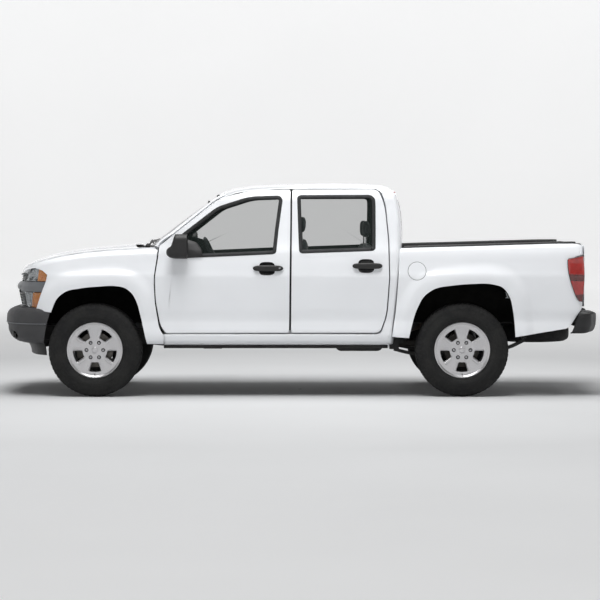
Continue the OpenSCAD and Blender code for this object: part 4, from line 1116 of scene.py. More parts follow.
gateGrid[..., 0] += np.where(outerFace, -0.006 * field - 0.020 * recess, 0)
gateGrid[..., 0] += np.where(gateGrid[..., 0] < 2.335, 0.007 * crossRib, 0)
piece("tailgate_skin", [tube(gateGrid)], "bodyPaint", "tailgate", replaced=["tailgate"])
piece("tailgate_handle", [tube(softBlock((2.368, -0.118, 1.170), (2.3735, 0.118, 1.222), 0.25)),
    tube(softBlock((2.370, -0.085, 1.180), (2.389, 0.085, 1.204), 0.4))], "trimPlastic", "tailgate")
capLine = sheet(2.356, np.linspace(-0.690, 0.690, 60), gate["high"] + 0.001)
piece("tailgate_top_cap", [tube(swept(capLine, capShape * (1.05, 0.6)))], "trimPlastic", "tailgate")

# tail lamps: rows run from the front edge round the corner onto the back, in three bands of lens
lamp = {"frontX": [2.352, 2.328, 2.293, 2.264, 2.256, 2.256], "frontZ": [0.806, 0.840, 0.929, 1.035, 1.105,
    1.160], "rearX": [2.374, 2.385, 2.393, 2.397, 2.396, 2.388], "rearZ": [0.804, 0.850, 0.930, 1.030,
    1.110, 1.187]}
lampT = np.linspace(0, 1, 56)
along = lambda key: through(np.linspace(0, 1, 6), lamp[key], lampT)[:, None]
share = np.r_[np.linspace(0, 0.80, 12), 0.9 + 0.1 * np.sin(np.linspace(0.2, math.pi / 2, 8)),
    np.ones(9)][None]
inward = np.r_[np.zeros(12), 0.030 * (1 - np.cos(np.linspace(0.2, math.pi / 2, 8))),
    0.030 + np.linspace(0.01, 0.078, 9)][None]
lampX = along("frontX") + (along("rearX") - along("frontX")) * share
lampZ = along("frontZ") + (along("rearZ") - along("frontZ")) * share
lampFlat = sheet(np.minimum(lampX, 2.34), lampZ)
lampGrid = sheet(lampX, -(sideHalf(lampFlat[..., 0], lampFlat[..., 1]) + 0.002 - inward), lampZ)
lampGrid[:, 0, 1] += 0.006
for name, finish, first, last in (("upper", "redLens", 33, 56), ("middle", "darkRedLens", 27, 34),
        ("lower", "redLens", 14, 28), ("foot", "darkRedLens", 0, 15)):
    piece(f"tail_lamp_{name}", onBothSides([lampGrid[first:last]]), finish, thick=0.004, bevel=0.0012,
        replaced=["tail_lamps"] if name == "upper" else [])
lampBack = lampGrid + np.array([-0.004, 0.014, 0])
piece("tail_lamp_housing", onBothSides([lampBack[::3]]), "glossBlack", thick=0.004)

# rear bumper: a grained moulding that steps down over the hitch, with a blank plate in its middle
rearPlan = outline([(2.272, -0.864), (2.440, -0.864, 0.105), (2.535, -0.560, 0.5), (2.545, 0.0, 3.0),
    (2.535, 0.560, 0.5), (2.440, 0.864, 0.105), (2.272, 0.864)], [24, 30, 40, 40, 30, 24], closed=False)
rearRows = np.array([(0.668, 0.150), (0.700, 0.146), (0.706, 0.120), (0.706, 0.040), (0.702, 0.014),
    (0.694, 0.004), (0.680, 0.000), (0.640, 0.001), (0.600, 0.004), (0.570, 0.012), (0.548, 0.024),
    (0.537, 0.044), (0.533, 0.070), (0.540, 0.095)])
rearRows = evenly(rearRows, 44)
planDir = np.gradient(rearPlan, axis=0)
planDir /= np.linalg.norm(planDir, axis=1)[:, None]
inwards = sheet(-planDir[:, 1], planDir[:, 0])
rearSkin = np.concatenate([rearPlan[None] + inwards[None] * np.minimum(rearRows[:, 1:, None], 0.118),
    0 * rearPlan[None, :, :1] + rearRows[:, :1, None]], -1)
rearSkin[..., 0] = np.maximum(rearSkin[..., 0], np.interp(rearSkin[..., 2], [0.53, 0.70], [2.284, 2.344]))
plateBay = ease(0.225, 0.205, np.abs(rearSkin[..., 1]))
rearSkin[..., 0] -= 0.045 * plateBay * (rearSkin[..., 0] > 2.49) * ease(0.545, 0.56, rearSkin[..., 2])
rearSkin[..., 2] -= 0.034 * plateBay * ease(0.66, 0.70, rearSkin[..., 2])
piece("rear_bumper_skin", [rearSkin], "stepPlastic", thick=0.004, inside=(2.30, 0, 0.6),
    replaced=["rear_bumper"])
pads = []
for y0, y1 in ((-0.80, -0.30), (0.30, 0.80)):
    for x in (2.440, 2.462, 2.484):
        pads.append(tube(softBlock((x - 0.006, y0 + 0.03, 0.704), (x + 0.006, y1 - 0.03, 0.7105), 0.3, 8,
            20)))
piece("bumper_step_ribs", pads, "trimPlastic")
piece("rear_plate", [tube(softBlock((2.497, -0.152, 0.552), (2.501, 0.152, 0.648), 0.12, 12, 32))],
    "blankPlate")
piece("hitch_step", [tube(softBlock((2.400, -0.52, 0.642), (2.498, 0.52, 0.664), 0.2, 12, 40)),
    tube(softBlock((2.302, -0.368, 0.612), (2.440, -0.302, 0.664), 0.25, 10, 24)),
    tube(softBlock((2.302, 0.302, 0.612), (2.440, 0.368, 0.664), 0.25, 10, 24))], "chassisPaint")
plateScrews = [tube(turned([(0.0003, 0.004), (0.004, 0.0035), (0.006, 0.001), (0.006, -0.004)],
    (2.501, y, 0.600), 0, 16)) for y in (-0.089, 0.089)]
piece("plate_screws", plateScrews, "nutSteel")
print("rear made")


# mirrors and handles
shellV = np.linspace(0, tau, 64, endpoint=False)[None]
shellU = np.linspace(0, 1, 34)[:, None]
mirror = {"y": -0.925, "front": -1.122, "length": 0.176}
# housing: rings from the bulging front to the open rear, each a squircle in (y, z) whose foot drops forward
ringSize = np.sqrt(np.clip(1 - (1 - np.clip(shellU / 0.55, 0, 1)) ** 2.4, 0, 1))
ringX = mirror["front"] + mirror["length"] * shellU
halfY, halfZ = 0.084 * ringSize, (0.056 + 0.047 * ease(0.20, 0.46, shellU)) * ringSize
midZ = 1.222 + 0.048 * ease(0.20, 0.46, shellU)
squircle = lambda q: np.sign(q) * np.abs(q) ** 0.62
housing = sheet(ringX, mirror["y"] + halfY * squircle(np.cos(shellV)),
    midZ + halfZ * squircle(np.sin(shellV)))
rim = housing[-1]
rimCentre = rim.mean(0)
mouth = np.stack([rimCentre + (rim - rimCentre) * scale + (x, 0, 0) for scale,
    x in ((1, 0), (0.95, 0.003), (0.90, 0.0), (0.88, -0.012))])
glass = rimCentre + (rim - rimCentre)[None] * np.linspace(0.001, 0.89, 8)[:, None, None] + (-0.008, 0, 0)
footLoop = outline([(-1.082, 1.172, 0.01), (-0.818, 1.178, 0.012), (-0.824, 1.235, 0.06),
    (-0.870, 1.302, 0.06), (-0.960, 1.330, 0.06), (-1.040, 1.320, 0.02)], [26, 10, 12, 12, 12, 14])
footCentre = footLoop.mean(0)
footRows = [(0.001, 0.016), (0.5, 0.016), (0.90, 0.0145), (0.97, 0.011), (1.0, 0.004), (1.0, -0.006)]
foot = np.stack([onSideSurface(footCentre + (footLoop - footCentre) * scale, lift) for scale,
    lift in footRows])
armPath = np.array([(-1.000, -0.815, 1.225), (-1.004, -0.845, 1.226), (-1.008, -0.870, 1.228)])
armRing = swept(armPath, np.array([(0.045, 0), (0.038, 0.018), (0, 0.026), (-0.038, 0.018), (-0.045, 0),
    (-0.038, -0.018), (0, -0.024), (0.038, -0.018)]))
frontHandle = {"bar": (-0.398, -0.140, 1.060, 1.110), "cup": (-0.346, -0.210, 1.026, 1.138)}
rearHandle = {"bar": (0.440, 0.694, 1.080, 1.130), "cup": (0.488, 0.626, 1.046, 1.162)}


# bar handle: a soft lozenge that stands 34 mm off the door and touches it at its two ends
def barHandle(x0, x1, z0, z1):
    t = np.linspace(0, 1, 40)[:, None]
    ring = np.linspace(0, tau, 24, endpoint=False)[None]
    end = np.clip(1 - np.abs(2 * t - 1) ** 6, 0.0, 1) ** 0.5
    x = x0 + (x1 - x0) * t + 0 * ring
    z = (z0 + z1) / 2 + (z1 - z0) / 2 * end * squircle(np.sin(ring)) * (1 - 0.10 * (2 * t - 1) ** 2)
    stand = 0.016 + 0.016 * np.sin(math.pi * t) ** 0.5
    out = -sideHalf(x, z) - stand * 0.62 - 0.011 * end * squircle(np.cos(ring))
    return sheet(x, out, z), False, True


def handleCup(x0, x1, z0, z1):
    ring = np.linspace(0, tau, 60, endpoint=False)[None]
    t = np.linspace(0.001, 1, 14)[:, None]
    flat = sheet((x0 + x1) / 2 + (x1 - x0) / 2 * t * squircle(np.cos(ring)),
        (z0 + z1) / 2 + (z1 - z0) / 2 * t * squircle(np.sin(ring)))
    return onSideSurface(flat, 0.0016 - 0.0012 * t**8), False, True


for side, s in leftRight:
    door = f"front_door_{side}"
    piece(f"mirror_housing_{side}", onSide([tube(housing), tube(mouth), tube(armRing)], s), "trimPlastic",
        door, replaced=[f"mirror_{side}"])
    piece(f"mirror_glass_{side}", onSide([tube(glass)], s), "lampMirror", door, thick=0.002)
    piece(f"mirror_foot_{side}", onSide([tube(foot)], s), "trimPlastic", door)
    for end, shape in (("front", frontHandle), ("rear", rearHandle)):
        piece(f"{end}_door_handle_{side}", onSide([barHandle(*shape["bar"])], s), "trimPlastic",
            f"{end}_door_{side}")
        piece(f"{end}_handle_cup_{side}", onSide([handleCup(*shape["cup"])], s), "glossBlack",
            f"{end}_door_{side}")
    lock = turned([(0.0004, 0.0285), (0.0060, 0.0283), (0.0085, 0.0270), (0.0092, 0.0240),
        (0.0092, 0.0150)], (-0.171, -0.8525, 1.088), 1, 28, -1)
    piece(f"door_lock_{side}", onSide([tube(lock)], s), "nutSteel", door)
print("mirrors and handles made")


# wheels: a lathed tyre with a cut tread, and a five-spoke alloy rim
wheel = {"tyreOut": 0.395, "halfWidth": 0.1325, "bead": 0.2350, "spokes": 5, "windowIn": 0.104,
    "windowOut": 0.186, "nuts": 6, "nutCircle": 0.06985}


# tyre section (radius, offset): bead, sidewall with a raised band, shoulder and a slightly crowned tread
def tyreSection():
    w, r = wheel["halfWidth"], wheel["tyreOut"]
    half = np.array([(wheel["bead"], w - 0.034), (wheel["bead"] + 0.002, w - 0.024), (0.243, w - 0.017),
        (0.2465, w - 0.0135), (0.2500, w - 0.0145), (0.258, w - 0.009), (0.272, w - 0.004),
        (0.2775, w - 0.0025), (0.2785, w - 0.0005), (0.2990, w), (0.3000, w - 0.0018), (0.318, w - 0.003),
        (0.336, w - 0.007), (0.345, w - 0.0095), (0.3465, w - 0.0075), (0.352, w - 0.0095),
        (0.363, w - 0.0145), (0.374, w - 0.021), (0.3835, w - 0.030), (r - 0.0060, w - 0.038),
        (r - 0.0030, w - 0.050), (r - 0.0012, w - 0.085), (r, 0.006)])
    return np.vstack([half, (half * (1, -1))[::-1]])


# tread: grooves round the tyre and slanted cuts between blocks, deeper on the shoulders
def cutTread(grid):
    radius = np.hypot(grid[..., 0], grid[..., 2])
    turn = np.arctan2(grid[..., 2], grid[..., 0])
    offset = grid[..., 1]
    groove = sum(ease(0.0058, 0.0035, np.abs(offset - at)) for at in (-0.052, -0.018, 0.018, 0.052))
    slant = np.mod(turn * 60 / tau + offset * 9 + 0.25 * np.sign(offset), 1)
    cut = ease(0.19, 0.13, np.abs(slant - 0.5)) * ease(0.022, 0.030, np.abs(offset))
    shoulder = ease(0.344, 0.350, radius) * ease(0.075, 0.085, np.abs(offset))
    block = ease(0.20, 0.15, np.abs(np.mod(turn * 60 / tau + 0.5, 1) - 0.5)) * shoulder
    deep = 0.0075 * np.clip(groove + cut * (radius > 0.378), 0,
        1) * (radius > 0.384) + 0.0045 * block * (radius <= 0.384)
    scale = 1 - deep / np.maximum(radius, 0.1)
    return sheet(grid[..., 0] * scale, grid[..., 1], grid[..., 2] * scale)


section = tyreSection()
treadY = np.linspace(wheel["halfWidth"] - 0.050, -(wheel["halfWidth"] - 0.050), 46)
crown = wheel["tyreOut"] - 0.0030 + 0.0030 * (1 - (treadY / treadY[0]) ** 2)
keep = section[:21]
section = np.vstack([keep, sheet(crown, treadY)[1:-1], (keep * (1, -1))[::-1]])
tyreGrid = cutTread(turned(section, (0, 0, 0), 1, 360, -1))
# rim: the outer lip and barrel are lathed; the section runs from the lip round to the inner flange
barrel = np.array([(0.216, 0.100), (0.2225, 0.1065), (0.2300, 0.1100), (0.2345, 0.1085), (0.2345, 0.1000),
    (0.2300, 0.0960), (0.2160, 0.0940), (0.2140, 0.0800), (0.1900, 0.0500), (0.1880, -0.040),
    (0.2100, -0.080), (0.2150, -0.104), (0.2300, -0.108), (0.2300, -0.114), (0.2100, -0.112),
    (0.2040, -0.082), (0.1830, -0.040), (0.1840, 0.048), (0.2070, 0.084), (0.2120, 0.098)])
barrelGrid = turned(barrel, (0, 0, 0), 1, 160, -1)

# spokes: one pressing with five windows; a sector runs from window's middle to window's middle, mirrored
sector = tau / wheel["spokes"]


# window outline in polar form: half angle open at each radius, with rounded corners
def windowHalfAngle(radius):
    inside, outside = wheel["windowIn"], wheel["windowOut"]
    width = np.interp(radius, [inside, outside], [0.026, 0.053])
    corner = 0.013
    toEnd = np.minimum(radius - inside, outside - radius)
    cornerCut = np.where(toEnd < corner, corner - np.sqrt(np.clip(corner**2 - (corner - toEnd) ** 2, 0,
        None)), 0)
    return np.where(toEnd > 0, (width - cornerCut) / radius, 0)


# the face as a grid in (radius, share of half a sector): columns crowd round the window's edge
def spokeFace():
    inside, outside = wheel["windowIn"], wheel["windowOut"]
    fine = lambda a, b, n: a + (b - a) * (1 - np.cos(np.linspace(0, math.pi, n))) / 2
    radii = np.r_[np.linspace(0.026, inside - 0.001, 14), fine(inside, outside, 34),
        np.linspace(outside + 0.001, 0.2165, 12)]
    half = windowHalfAngle(radii)[:, None]
    share = np.linspace(0, 1, 22)[None]
    angle = half + (sector / 2 - half) * share
    toWindow = (angle - half) * radii[:, None]
    opened = (half > 0)
    dish = through([0, 0.080, 0.092, 0.120, 0.170, 0.200, 0.2165], [0.0975, 0.0965, 0.0945, 0.0955, 0.0985,
        0.1005, 0.1000], radii)[:, None]
    roll = np.where(opened, 0.012 * (1 - np.sqrt(1 - np.clip(1 - toWindow / 0.012, 0, 1) ** 2)), 0)
    crease = 0.0022 * ease(0.010, 0.004, np.abs(toWindow - 0.020)) * ease(inside, inside + 0.02,
        radii[:, None])
    return radii[:, None] + 0 * angle, angle, dish - roll - crease * opened


faceR, faceA, faceD = spokeFace()
onWheel = lambda r, a, d: sheet(r * np.sin(a), -d, r * np.cos(a))
spokeGrids = []
for k in range(wheel["spokes"]):
    middle = math.pi + sector * k
    for direction in (-1, 1):
        spokeGrids.append(onWheel(faceR, middle + direction * faceA, faceD))
        edgeR, edgeA, edgeD = faceR[14:48, 0], faceA[14:48, 0], faceD[14:48, 0]
        wallDepth = np.array([0, 0.004, 0.014, 0.026])[:, None]
        spokeGrids.append(onWheel(edgeR[None] + 0 * wallDepth, middle + direction
            * (edgeA[None] - wallDepth * 0.10 / 0.15), edgeD[None] - wallDepth))
        back = np.clip(faceD[10:, ::3] - 0.026, 0.05, None)
        spokeGrids.append(onWheel(faceR[10:, ::3], middle + direction * faceA[10:, ::3], back))
hubDish = turned([(0.0262, 0.0975), (0.0262, 0.080), (0.0005, 0.080)], (0, 0, 0), 1, 48, -1)
nutGrids = []
nutProfile = np.array([(0.0005, 0.1035), (0.006, 0.1030), (0.0092, 0.1010), (0.0098, 0.0990),
    (0.0098, 0.0900), (0.0130, 0.0890), (0.0135, 0.0870)])
for k in range(wheel["nuts"]):
    turn = tau * (k + 0.5) / wheel["nuts"]
    nut = turned(nutProfile, (wheel["nutCircle"] * math.sin(turn), 0, wheel["nutCircle"] * math.cos(turn)),
        1, 24, -1)
    nutGrids.append(tube(nut + (0, -0.004, 0)))
nutWells = [tube(turned([(0.0165, 0.0985), (0.0160, 0.0972), (0.0150, 0.0930)],
    (wheel["nutCircle"] * math.sin(tau * (k + 0.5) / 6), 0, wheel["nutCircle"]
    * math.cos(tau * (k + 0.5) / 6)), 1, 28, -1)) for k in range(wheel["nuts"])]
# black rings lining each nut's well: painted shade, standing for the shadow down in the recess
nutWellPaintedShade = [tube(turned([(0.0095, 0.0955), (0.0105, 0.0985), (0.0158, 0.0988), (0.0172, 0.0975),
    (0.0175, 0.0950)], (wheel["nutCircle"] * math.sin(tau * (k + 0.5) / 6), 0,
    wheel["nutCircle"] * math.cos(tau * (k + 0.5) / 6)), 1, 28, -1)) for k in range(wheel["nuts"])]
capGrid = turned([(0.0005, 0.1045), (0.012, 0.1040), (0.0215, 0.1020), (0.0255, 0.0995), (0.0268, 0.0965),
    (0.0268, 0.090)], (0, 0, 0), 1, 56, -1)
capRing = turned([(0.0270, 0.0985), (0.0285, 0.0990), (0.0300, 0.0982), (0.0305, 0.0960)], (0, 0, 0), 1,
    56, -1)
valve = turned([(0.0003, 0.030), (0.0042, 0.029), (0.0050, 0.026), (0.0050, 0.010), (0.0062, 0.009),
    (0.0064, 0.0)], (0, -0.088, -0.2035), 1, 14, -1)
disc = turned([(0.0640, 0.052), (0.0660, 0.052), (0.0665, 0.030), (0.148, 0.030), (0.1495, 0.028),
    (0.1495, 0.012), (0.148, 0.010), (0.075, 0.010)], (0, 0, 0), 1, 96, -1)
drum = turned([(0.0600, 0.048), (0.064, 0.048), (0.066, 0.030), (0.120, 0.026), (0.146, 0.018),
    (0.150, 0.006), (0.150, -0.040), (0.156, -0.044), (0.156, -0.060), (0.06, -0.062)], (0, 0, 0), 1, 96,
    -1)
caliper = softBlock((-0.160, -0.046, -0.075), (-0.085, 0.010, 0.075), 0.3, 14, 28)

for end in ("front", "rear"):
    for side, s in leftRight:
        low, high = nodeBox(f"tyre_{end}_{side}")
        place = np.array([(low[0] + high[0]) / 2, s * 0.730, (low[2] + high[2]) / 2])
        body = f"wheel_{end}_{side}"
        put = lambda grids: [(g[0] * (1, -s, 1) + place, g[1], g[2]) if isinstance(g, tuple) else g
            * (1, -s, 1) + place for g in grids]
        rim = f"rim_{end}_{side}"
        piece(f"tyre_skin_{end}_{side}", put([(tyreGrid, True, True)]), "tyreRubber", body, smooth=28,
            replaced=[f"tyre_{end}_{side}"])
        piece(f"rim_barrel_{end}_{side}", put([(barrelGrid, True, True)]), "wheelAlloy", body)
        piece(f"rim_spokes_{end}_{side}", put(spokeGrids), "wheelAlloy", body, weld=True, smooth=40,
            inside=place + (0, -s * 0.3, 0), replaced=[rim])
        piece(f"rim_hub_{end}_{side}", put([tube(hubDish)] + nutWells), "wheelAlloy", body)
        piece(f"nut_wells_{end}_{side}", put(nutWellPaintedShade), "glossBlack", body)
        piece(f"wheel_nuts_{end}_{side}", put(nutGrids), "nutSteel", body)
        piece(f"wheel_cap_{end}_{side}", put([tube(capGrid), tube(capRing)]), "wheelAlloy", body)
        piece(f"tyre_valve_{end}_{side}", put([tube(valve)]), "trimPlastic", body)
        if end == "front":
            piece(f"brake_disc_{side}", put([tube(disc)]), "brakeSteel", body)
            piece(f"brake_caliper_{side}", put([tube(caliper)]), "castIron", f"knuckle_{side}")
        else:
            piece(f"brake_drum_{side}", put([tube(drum)]), "castIron", body)
print("wheels made")


# seats: foam pads blown up by a short cloth simulation; sewn channels are pressed in after
seat = {"fill": 0.6, "voxel": 0.013, "pressure": 4.0, "frames": 16, "cap": 0.012, "channel": 0.006}


# mesh of an object with its modifiers applied
def settled(source, name):
    depsgraph = bpy.context.evaluated_depsgraph_get()
    mesh = bpy.data.meshes.new_from_object(source.evaluated_get(depsgraph))
    mesh.name = name
    return mesh


def meshPoints(mesh):
    points = np.empty(len(mesh.vertices) * 3, np.float32)
    mesh.vertices.foreach_get("co", points)
    return points.reshape(-1, 3).astype(float)


# a pad: remeshed, inflated, capped, then grooved along its channels; shape says where a groove runs
def softPad(name, grid, shape):
    pad = piece(name, [tube(grid)], "seatCloth", weld=True, smooth=0)
    remesh = pad.modifiers.new("voxels", "REMESH")
    remesh.mode, remesh.voxel_size = "VOXEL", seat["voxel"]
    pad.data = settled(pad, name)
    pad.modifiers.clear()
    rest = meshPoints(pad.data)
    cloth = pad.modifiers.new("cloth", "CLOTH")
    cloth.settings.use_pressure, cloth.settings.uniform_pressure_force = True, seat["pressure"]
    cloth.settings.effector_weights.gravity = 0
    cloth.settings.quality = 4
    scene = bpy.context.scene
    for frameNumber in range(1, seat["frames"] + 1):
        scene.frame_set(frameNumber)
    blown = settled(pad, name)
    pad.modifiers.clear()
    move = meshPoints(blown) - rest
    length = np.linalg.norm(move, axis=1)[:, None] + 1e-9
    pad.data.vertices.foreach_set("co", (rest + move * np.minimum(1,
        seat["cap"] / length)).astype(np.float32).ravel())
    scene.frame_set(1)
    points = meshPoints(pad.data)
    normals = np.empty(len(points) * 3, np.float32)
    pad.data.vertices.foreach_get("normal", normals)
    points -= normals.reshape(-1, 3) * shape(points)[:, None]
    pad.data.vertices.foreach_set("co", points.astype(np.float32).ravel())
    pad.data.update()
    pad.data.shade_smooth()
    finer = pad.modifiers.new("round", "SUBSURF")
    finer.levels = finer.render_levels = 1
    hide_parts("seats")


groove = lambda distance: seat["channel"] * np.exp(-(distance / 0.007) ** 2)
lean = lambda points, foot, slope: points + sheet((points[..., 2] - foot) * slope, 0 * points[..., 0],
    0 * points[..., 0])


# front seat on the left: cushion with raised sides, a leaning back with wings, and a head rest on two posts
def frontSeat(s, side):
    y = s * 0.405
    cushion = softBlock((-0.612, y - 0.222, 0.652), (-0.125, y + 0.222, 0.776), 0.42, 22, 48)
    cushion[..., 2] += 0.018 * ease(0.12, 0.19, np.abs(cushion[..., 1]
        - y)) * (cushion[..., 2] > 0.70) + 0.05 * (-0.37 - cushion[..., 0]) * (cushion[..., 2] > 0.70)
    back = softBlock((-0.120, y - 0.214, 0.725), (-0.012, y + 0.214, 1.325), 0.42, 26, 48)
    back[..., 0] -= 0.020 * ease(0.10, 0.18, np.abs(back[..., 1]
        - y)) * (back[..., 0] < -0.06) * ease(1.28, 1.18, back[..., 2])
    back = lean(back, 0.725, 0.145)
    head = lean(softBlock((-0.040, y - 0.105, 1.380), (0.036, y + 0.105, 1.512), 0.5, 18, 36), 1.3, 0.08)
    softPad(f"front_cushion_{side}", cushion, lambda p: groove(np.abs(np.abs(p[:, 1] - y) - 0.135))
        + groove(np.abs(np.abs(p[:, 0] + 0.36) - 0.075)) * (np.abs(p[:, 1] - y) < 0.135))
    softPad(f"front_back_{side}", back, lambda p: groove(np.abs(np.abs(p[:, 1] - y) - 0.130))
        + groove(np.abs(np.abs(p[:, 2] - 1.02) - 0.11)) * (np.abs(p[:, 1] - y) < 0.130))
    softPad(f"front_head_rest_{side}", head, lambda p: groove(np.abs(np.abs(p[:, 1] - y) - 0.085)))
    posts = [tube(swept(np.array([(0.02, y + d, 1.280), (0.018, y + d, 1.33), (0.014, y + d, 1.42)]),
        circle(0.0055, 12), (0, 1, 0))) for d in (-0.05, 0.05)]
    piece(f"head_rest_posts_{side}", posts, "nutSteel")
    base = [tube(softBlock((-0.585, y - 0.215, 0.575), (-0.130, y - 0.190, 0.680), 0.25, 10, 24)),
        tube(softBlock((-0.585, y + 0.190, 0.575), (-0.130, y + 0.215, 0.680), 0.25, 10, 24)),
        tube(softBlock((-0.560, y - 0.200, 0.600), (-0.160, y + 0.200, 0.650), 0.25, 10, 24))]
    piece(f"seat_base_{side}", base, "trimPlastic", "chassis",
        replaced=["seats"] if s < 0 else [])


for side, s in leftRight:
    frontSeat(s, side)
bench = softBlock((0.235, -0.640, 0.640), (0.585, 0.640, 0.792), 0.32, 22, 72)
benchBack = lean(softBlock((0.530, -0.640, 0.760), (0.640, 0.640, 1.290), 0.32, 26, 72), 0.76, -0.02)
softPad("rear_cushion", bench, lambda p: groove(np.abs(np.abs(p[:, 1]) - 0.19))
    + groove(np.abs(p[:, 0] - 0.42)))
softPad("rear_back", benchBack, lambda p: groove(np.abs(np.abs(p[:, 1]) - 0.19))
    + groove(np.abs(np.abs(p[:, 2] - 1.02) - 0.12)))
for side, s in leftRight:
    restBlock = softBlock((0.538, s * 0.39 - 0.10, 1.340), (0.600, s * 0.39 + 0.10, 1.480), 0.5, 16, 32)
    softPad(f"rear_head_rest_{side}", restBlock, lambda p, s=s: groove(np.abs(np.abs(p[:, 1] - s * 0.39)
        - 0.08)))
    piece(f"rear_rest_posts_{side}", [tube(swept(np.array([(0.570, s * 0.39 + d, 1.25),
        (0.570, s * 0.39 + d, 1.30), (0.570, s * 0.39 + d, 1.37)]), circle(0.0055, 12), (0, 1, 0)))
        for d in (-0.05, 0.05)], "nutSteel")
piece("bench_base", [tube(softBlock((0.255, -0.600, 0.575), (0.700, 0.600, 0.650), 0.2, 12, 48))],
    "trimPlastic", "chassis")
print("seats made")


# dashboard: one moulding across the cab with a hood over the dials, a centre stack and vents
dashLoop = outline([(-1.196, 0.885), (-1.196, 1.190, 0.02), (-1.000, 1.207, 0.06), (-0.893, 1.125, 0.05),
    (-0.905, 0.960, 0.05), (-0.960, 0.878, 0.04)], [30, 34, 22, 24, 16, 24])
dashGrid = alongY(dashLoop, np.r_[-0.655, np.linspace(-0.652, 0.652, 131), 0.655])[0]
y, z, x = dashGrid[..., 1], dashGrid[..., 2], dashGrid[..., 0]
binnacle = ease(0.20, 0.12, np.abs(y + 0.370)) * ease(1.14, 1.20, z) * ease(-1.10, -1.00, x)
stack = ease(0.155, 0.135, np.abs(y)) * ease(-1.00, -0.93, x)
dashGrid[..., 2] += 0.022 * binnacle
dashGrid[..., 0] += 0.022 * stack * ease(1.19, 1.15, z) + 0.020 * binnacle
gloveLine = ease(0.006, 0.0, np.abs(np.maximum(np.abs(y - 0.39) - 0.19,
    np.abs(z - 1.0) - 0.075))) * (x > -0.95)
dashGrid[..., 0] -= 0.004 * gloveLine
piece("dash_moulding", [tube(dashGrid)], "dashPlastic", replaced=["dashboard"])
vents = []
for centreY, width in ((-0.585, 0.075), (-0.075, 0.110), (0.075, 0.110), (0.585, 0.075)):
    for height in (1.098, 1.108, 1.118, 1.128):
        vents.append(tube(softBlock((-0.893 + 0.012, centreY - width / 2, height - 0.002),
            (-0.872, centreY + width / 2, height + 0.002), 0.3, 6, 16)))
piece("dash_vents", vents, "glossBlack", "chassis")
piece("dash_screen", [tube(softBlock((-0.890, -0.095, 1.010), (-0.868, 0.095, 1.085), 0.15, 12, 32))],
    "screenGlass")
knobs = [tube(turned([(0.0005, 0.016), (0.014, 0.015), (0.016, 0.0), (0.016, -0.02)], (-0.880, y0, 0.975),
    0, 28)) for y0 in (-0.09, 0.0, 0.09)]
piece("dash_knobs", knobs, "trimPlastic", "chassis")
dials = [tube(turned([(0.0005, 0.002), (0.040, 0.002), (0.042, 0.006), (0.045, 0.006), (0.046, -0.01)],
    (-0.908, y0, 1.150), 0, 40)) for y0 in (-0.42, -0.32)]
piece("dash_dials", dials, "screenGlass")
columnPath = np.array([(-0.935, -0.370, 1.082), (-0.860, -0.370, 1.117), (-0.790, -0.370, 1.150)])
piece("column_shroud", [tube(swept(columnPath, circle(0.034, 28)))], "dashPlastic")
stalks = [tube(swept(np.array([(-0.815, -0.370, 1.140), (-0.820, -0.370 + d * 0.6, 1.142),
    (-0.822, -0.370 + d, 1.150)]), circle(0.006, 12))) for d in (-0.15, 0.15)]
piece("column_stalks", stalks, "trimPlastic", "chassis")

# steering wheel: rim, hub pad and three spokes, made flat and then tilted onto the column
wheelTilt = math.radians(65)
axisPoint = np.array([-0.745, -0.370, 1.171])


def onColumn(flat):
    a, b, c = flat[..., 0], flat[..., 1], flat[..., 2]
    return sheet(a * math.cos(wheelTilt) + c * math.sin(wheelTilt), b,
        -a * math.sin(wheelTilt) + c * math.cos(wheelTilt)) + axisPoint


ringTurn = np.linspace(0, tau, 120, endpoint=False)[:, None]
tubeTurn = np.linspace(0, tau, 20, endpoint=False)[None]
thickRim = 0.0145 - 0.0015 * np.cos(ringTurn * 4)
steerRim = sheet((0.176 + thickRim * np.cos(tubeTurn)) * np.cos(ringTurn),
    (0.176 + thickRim * np.cos(tubeTurn)) * np.sin(ringTurn), thickRim * np.sin(tubeTurn))
hubPad = softBlock((-0.075, -0.085, -0.022), (0.080, 0.085, 0.024), 0.5, 16, 40)
spokeParts = []
for turn in (0.0, math.radians(112), math.radians(248)):
    arm = softBlock((0.05, -0.017, -0.006), (0.172, 0.017, 0.007), 0.3, 10, 24)
    spokeParts.append(tube(onColumn(sheet(arm[..., 0] * math.cos(turn) - arm[..., 1] * math.sin(turn),
        arm[..., 0] * math.sin(turn) + arm[..., 1] * math.cos(turn), arm[..., 2]))))
piece("steering_wheel_rim", [(onColumn(steerRim), True, True)], "dashPlastic", "steering_wheel",
    replaced=["steering_wheel"])
piece("steering_wheel_hub", [tube(onColumn(hubPad))] + spokeParts, "dashPlastic", "steering_wheel")

# console, lever, inner mirror and visors
piece("centre_console", [tube(softBlock((-0.560, -0.115, 0.800), (-0.080, 0.115, 0.905), 0.22, 16, 40)),
    tube(softBlock((-0.930, -0.100, 0.795), (-0.540, 0.100, 0.850), 0.22, 14, 36))], "dashPlastic")
piece("gear_lever", [tube(swept(np.array([(-0.70, 0, 0.84), (-0.695, 0, 0.88), (-0.685, 0, 0.93)]),
    circle(0.008, 14), (0, 1, 0))), tube(softBlock((-0.705, -0.024, 0.925), (-0.660, 0.024, 0.970), 0.6,
    14, 28))], "trimPlastic", "chassis")
piece("inner_mirror", [tube(softBlock((-0.800, -0.125, 1.560), (-0.775, 0.125, 1.620), 0.35, 14, 32)),
    tube(swept(np.array([(-0.800, 0, 1.60), (-0.806, 0, 1.625), (-0.795, 0, 1.655)]), circle(0.008, 12),
    (0, 1, 0)))], "trimPlastic", "chassis")
visors = [tube(softBlock((-0.690, s * 0.33 - 0.21, 1.648), (-0.545, s * 0.33 + 0.21, 1.664), 0.3, 10, 36))
    for s in (-1, 1)]
piece("sun_visors", visors, "cabinGrey")
print("cabin made")


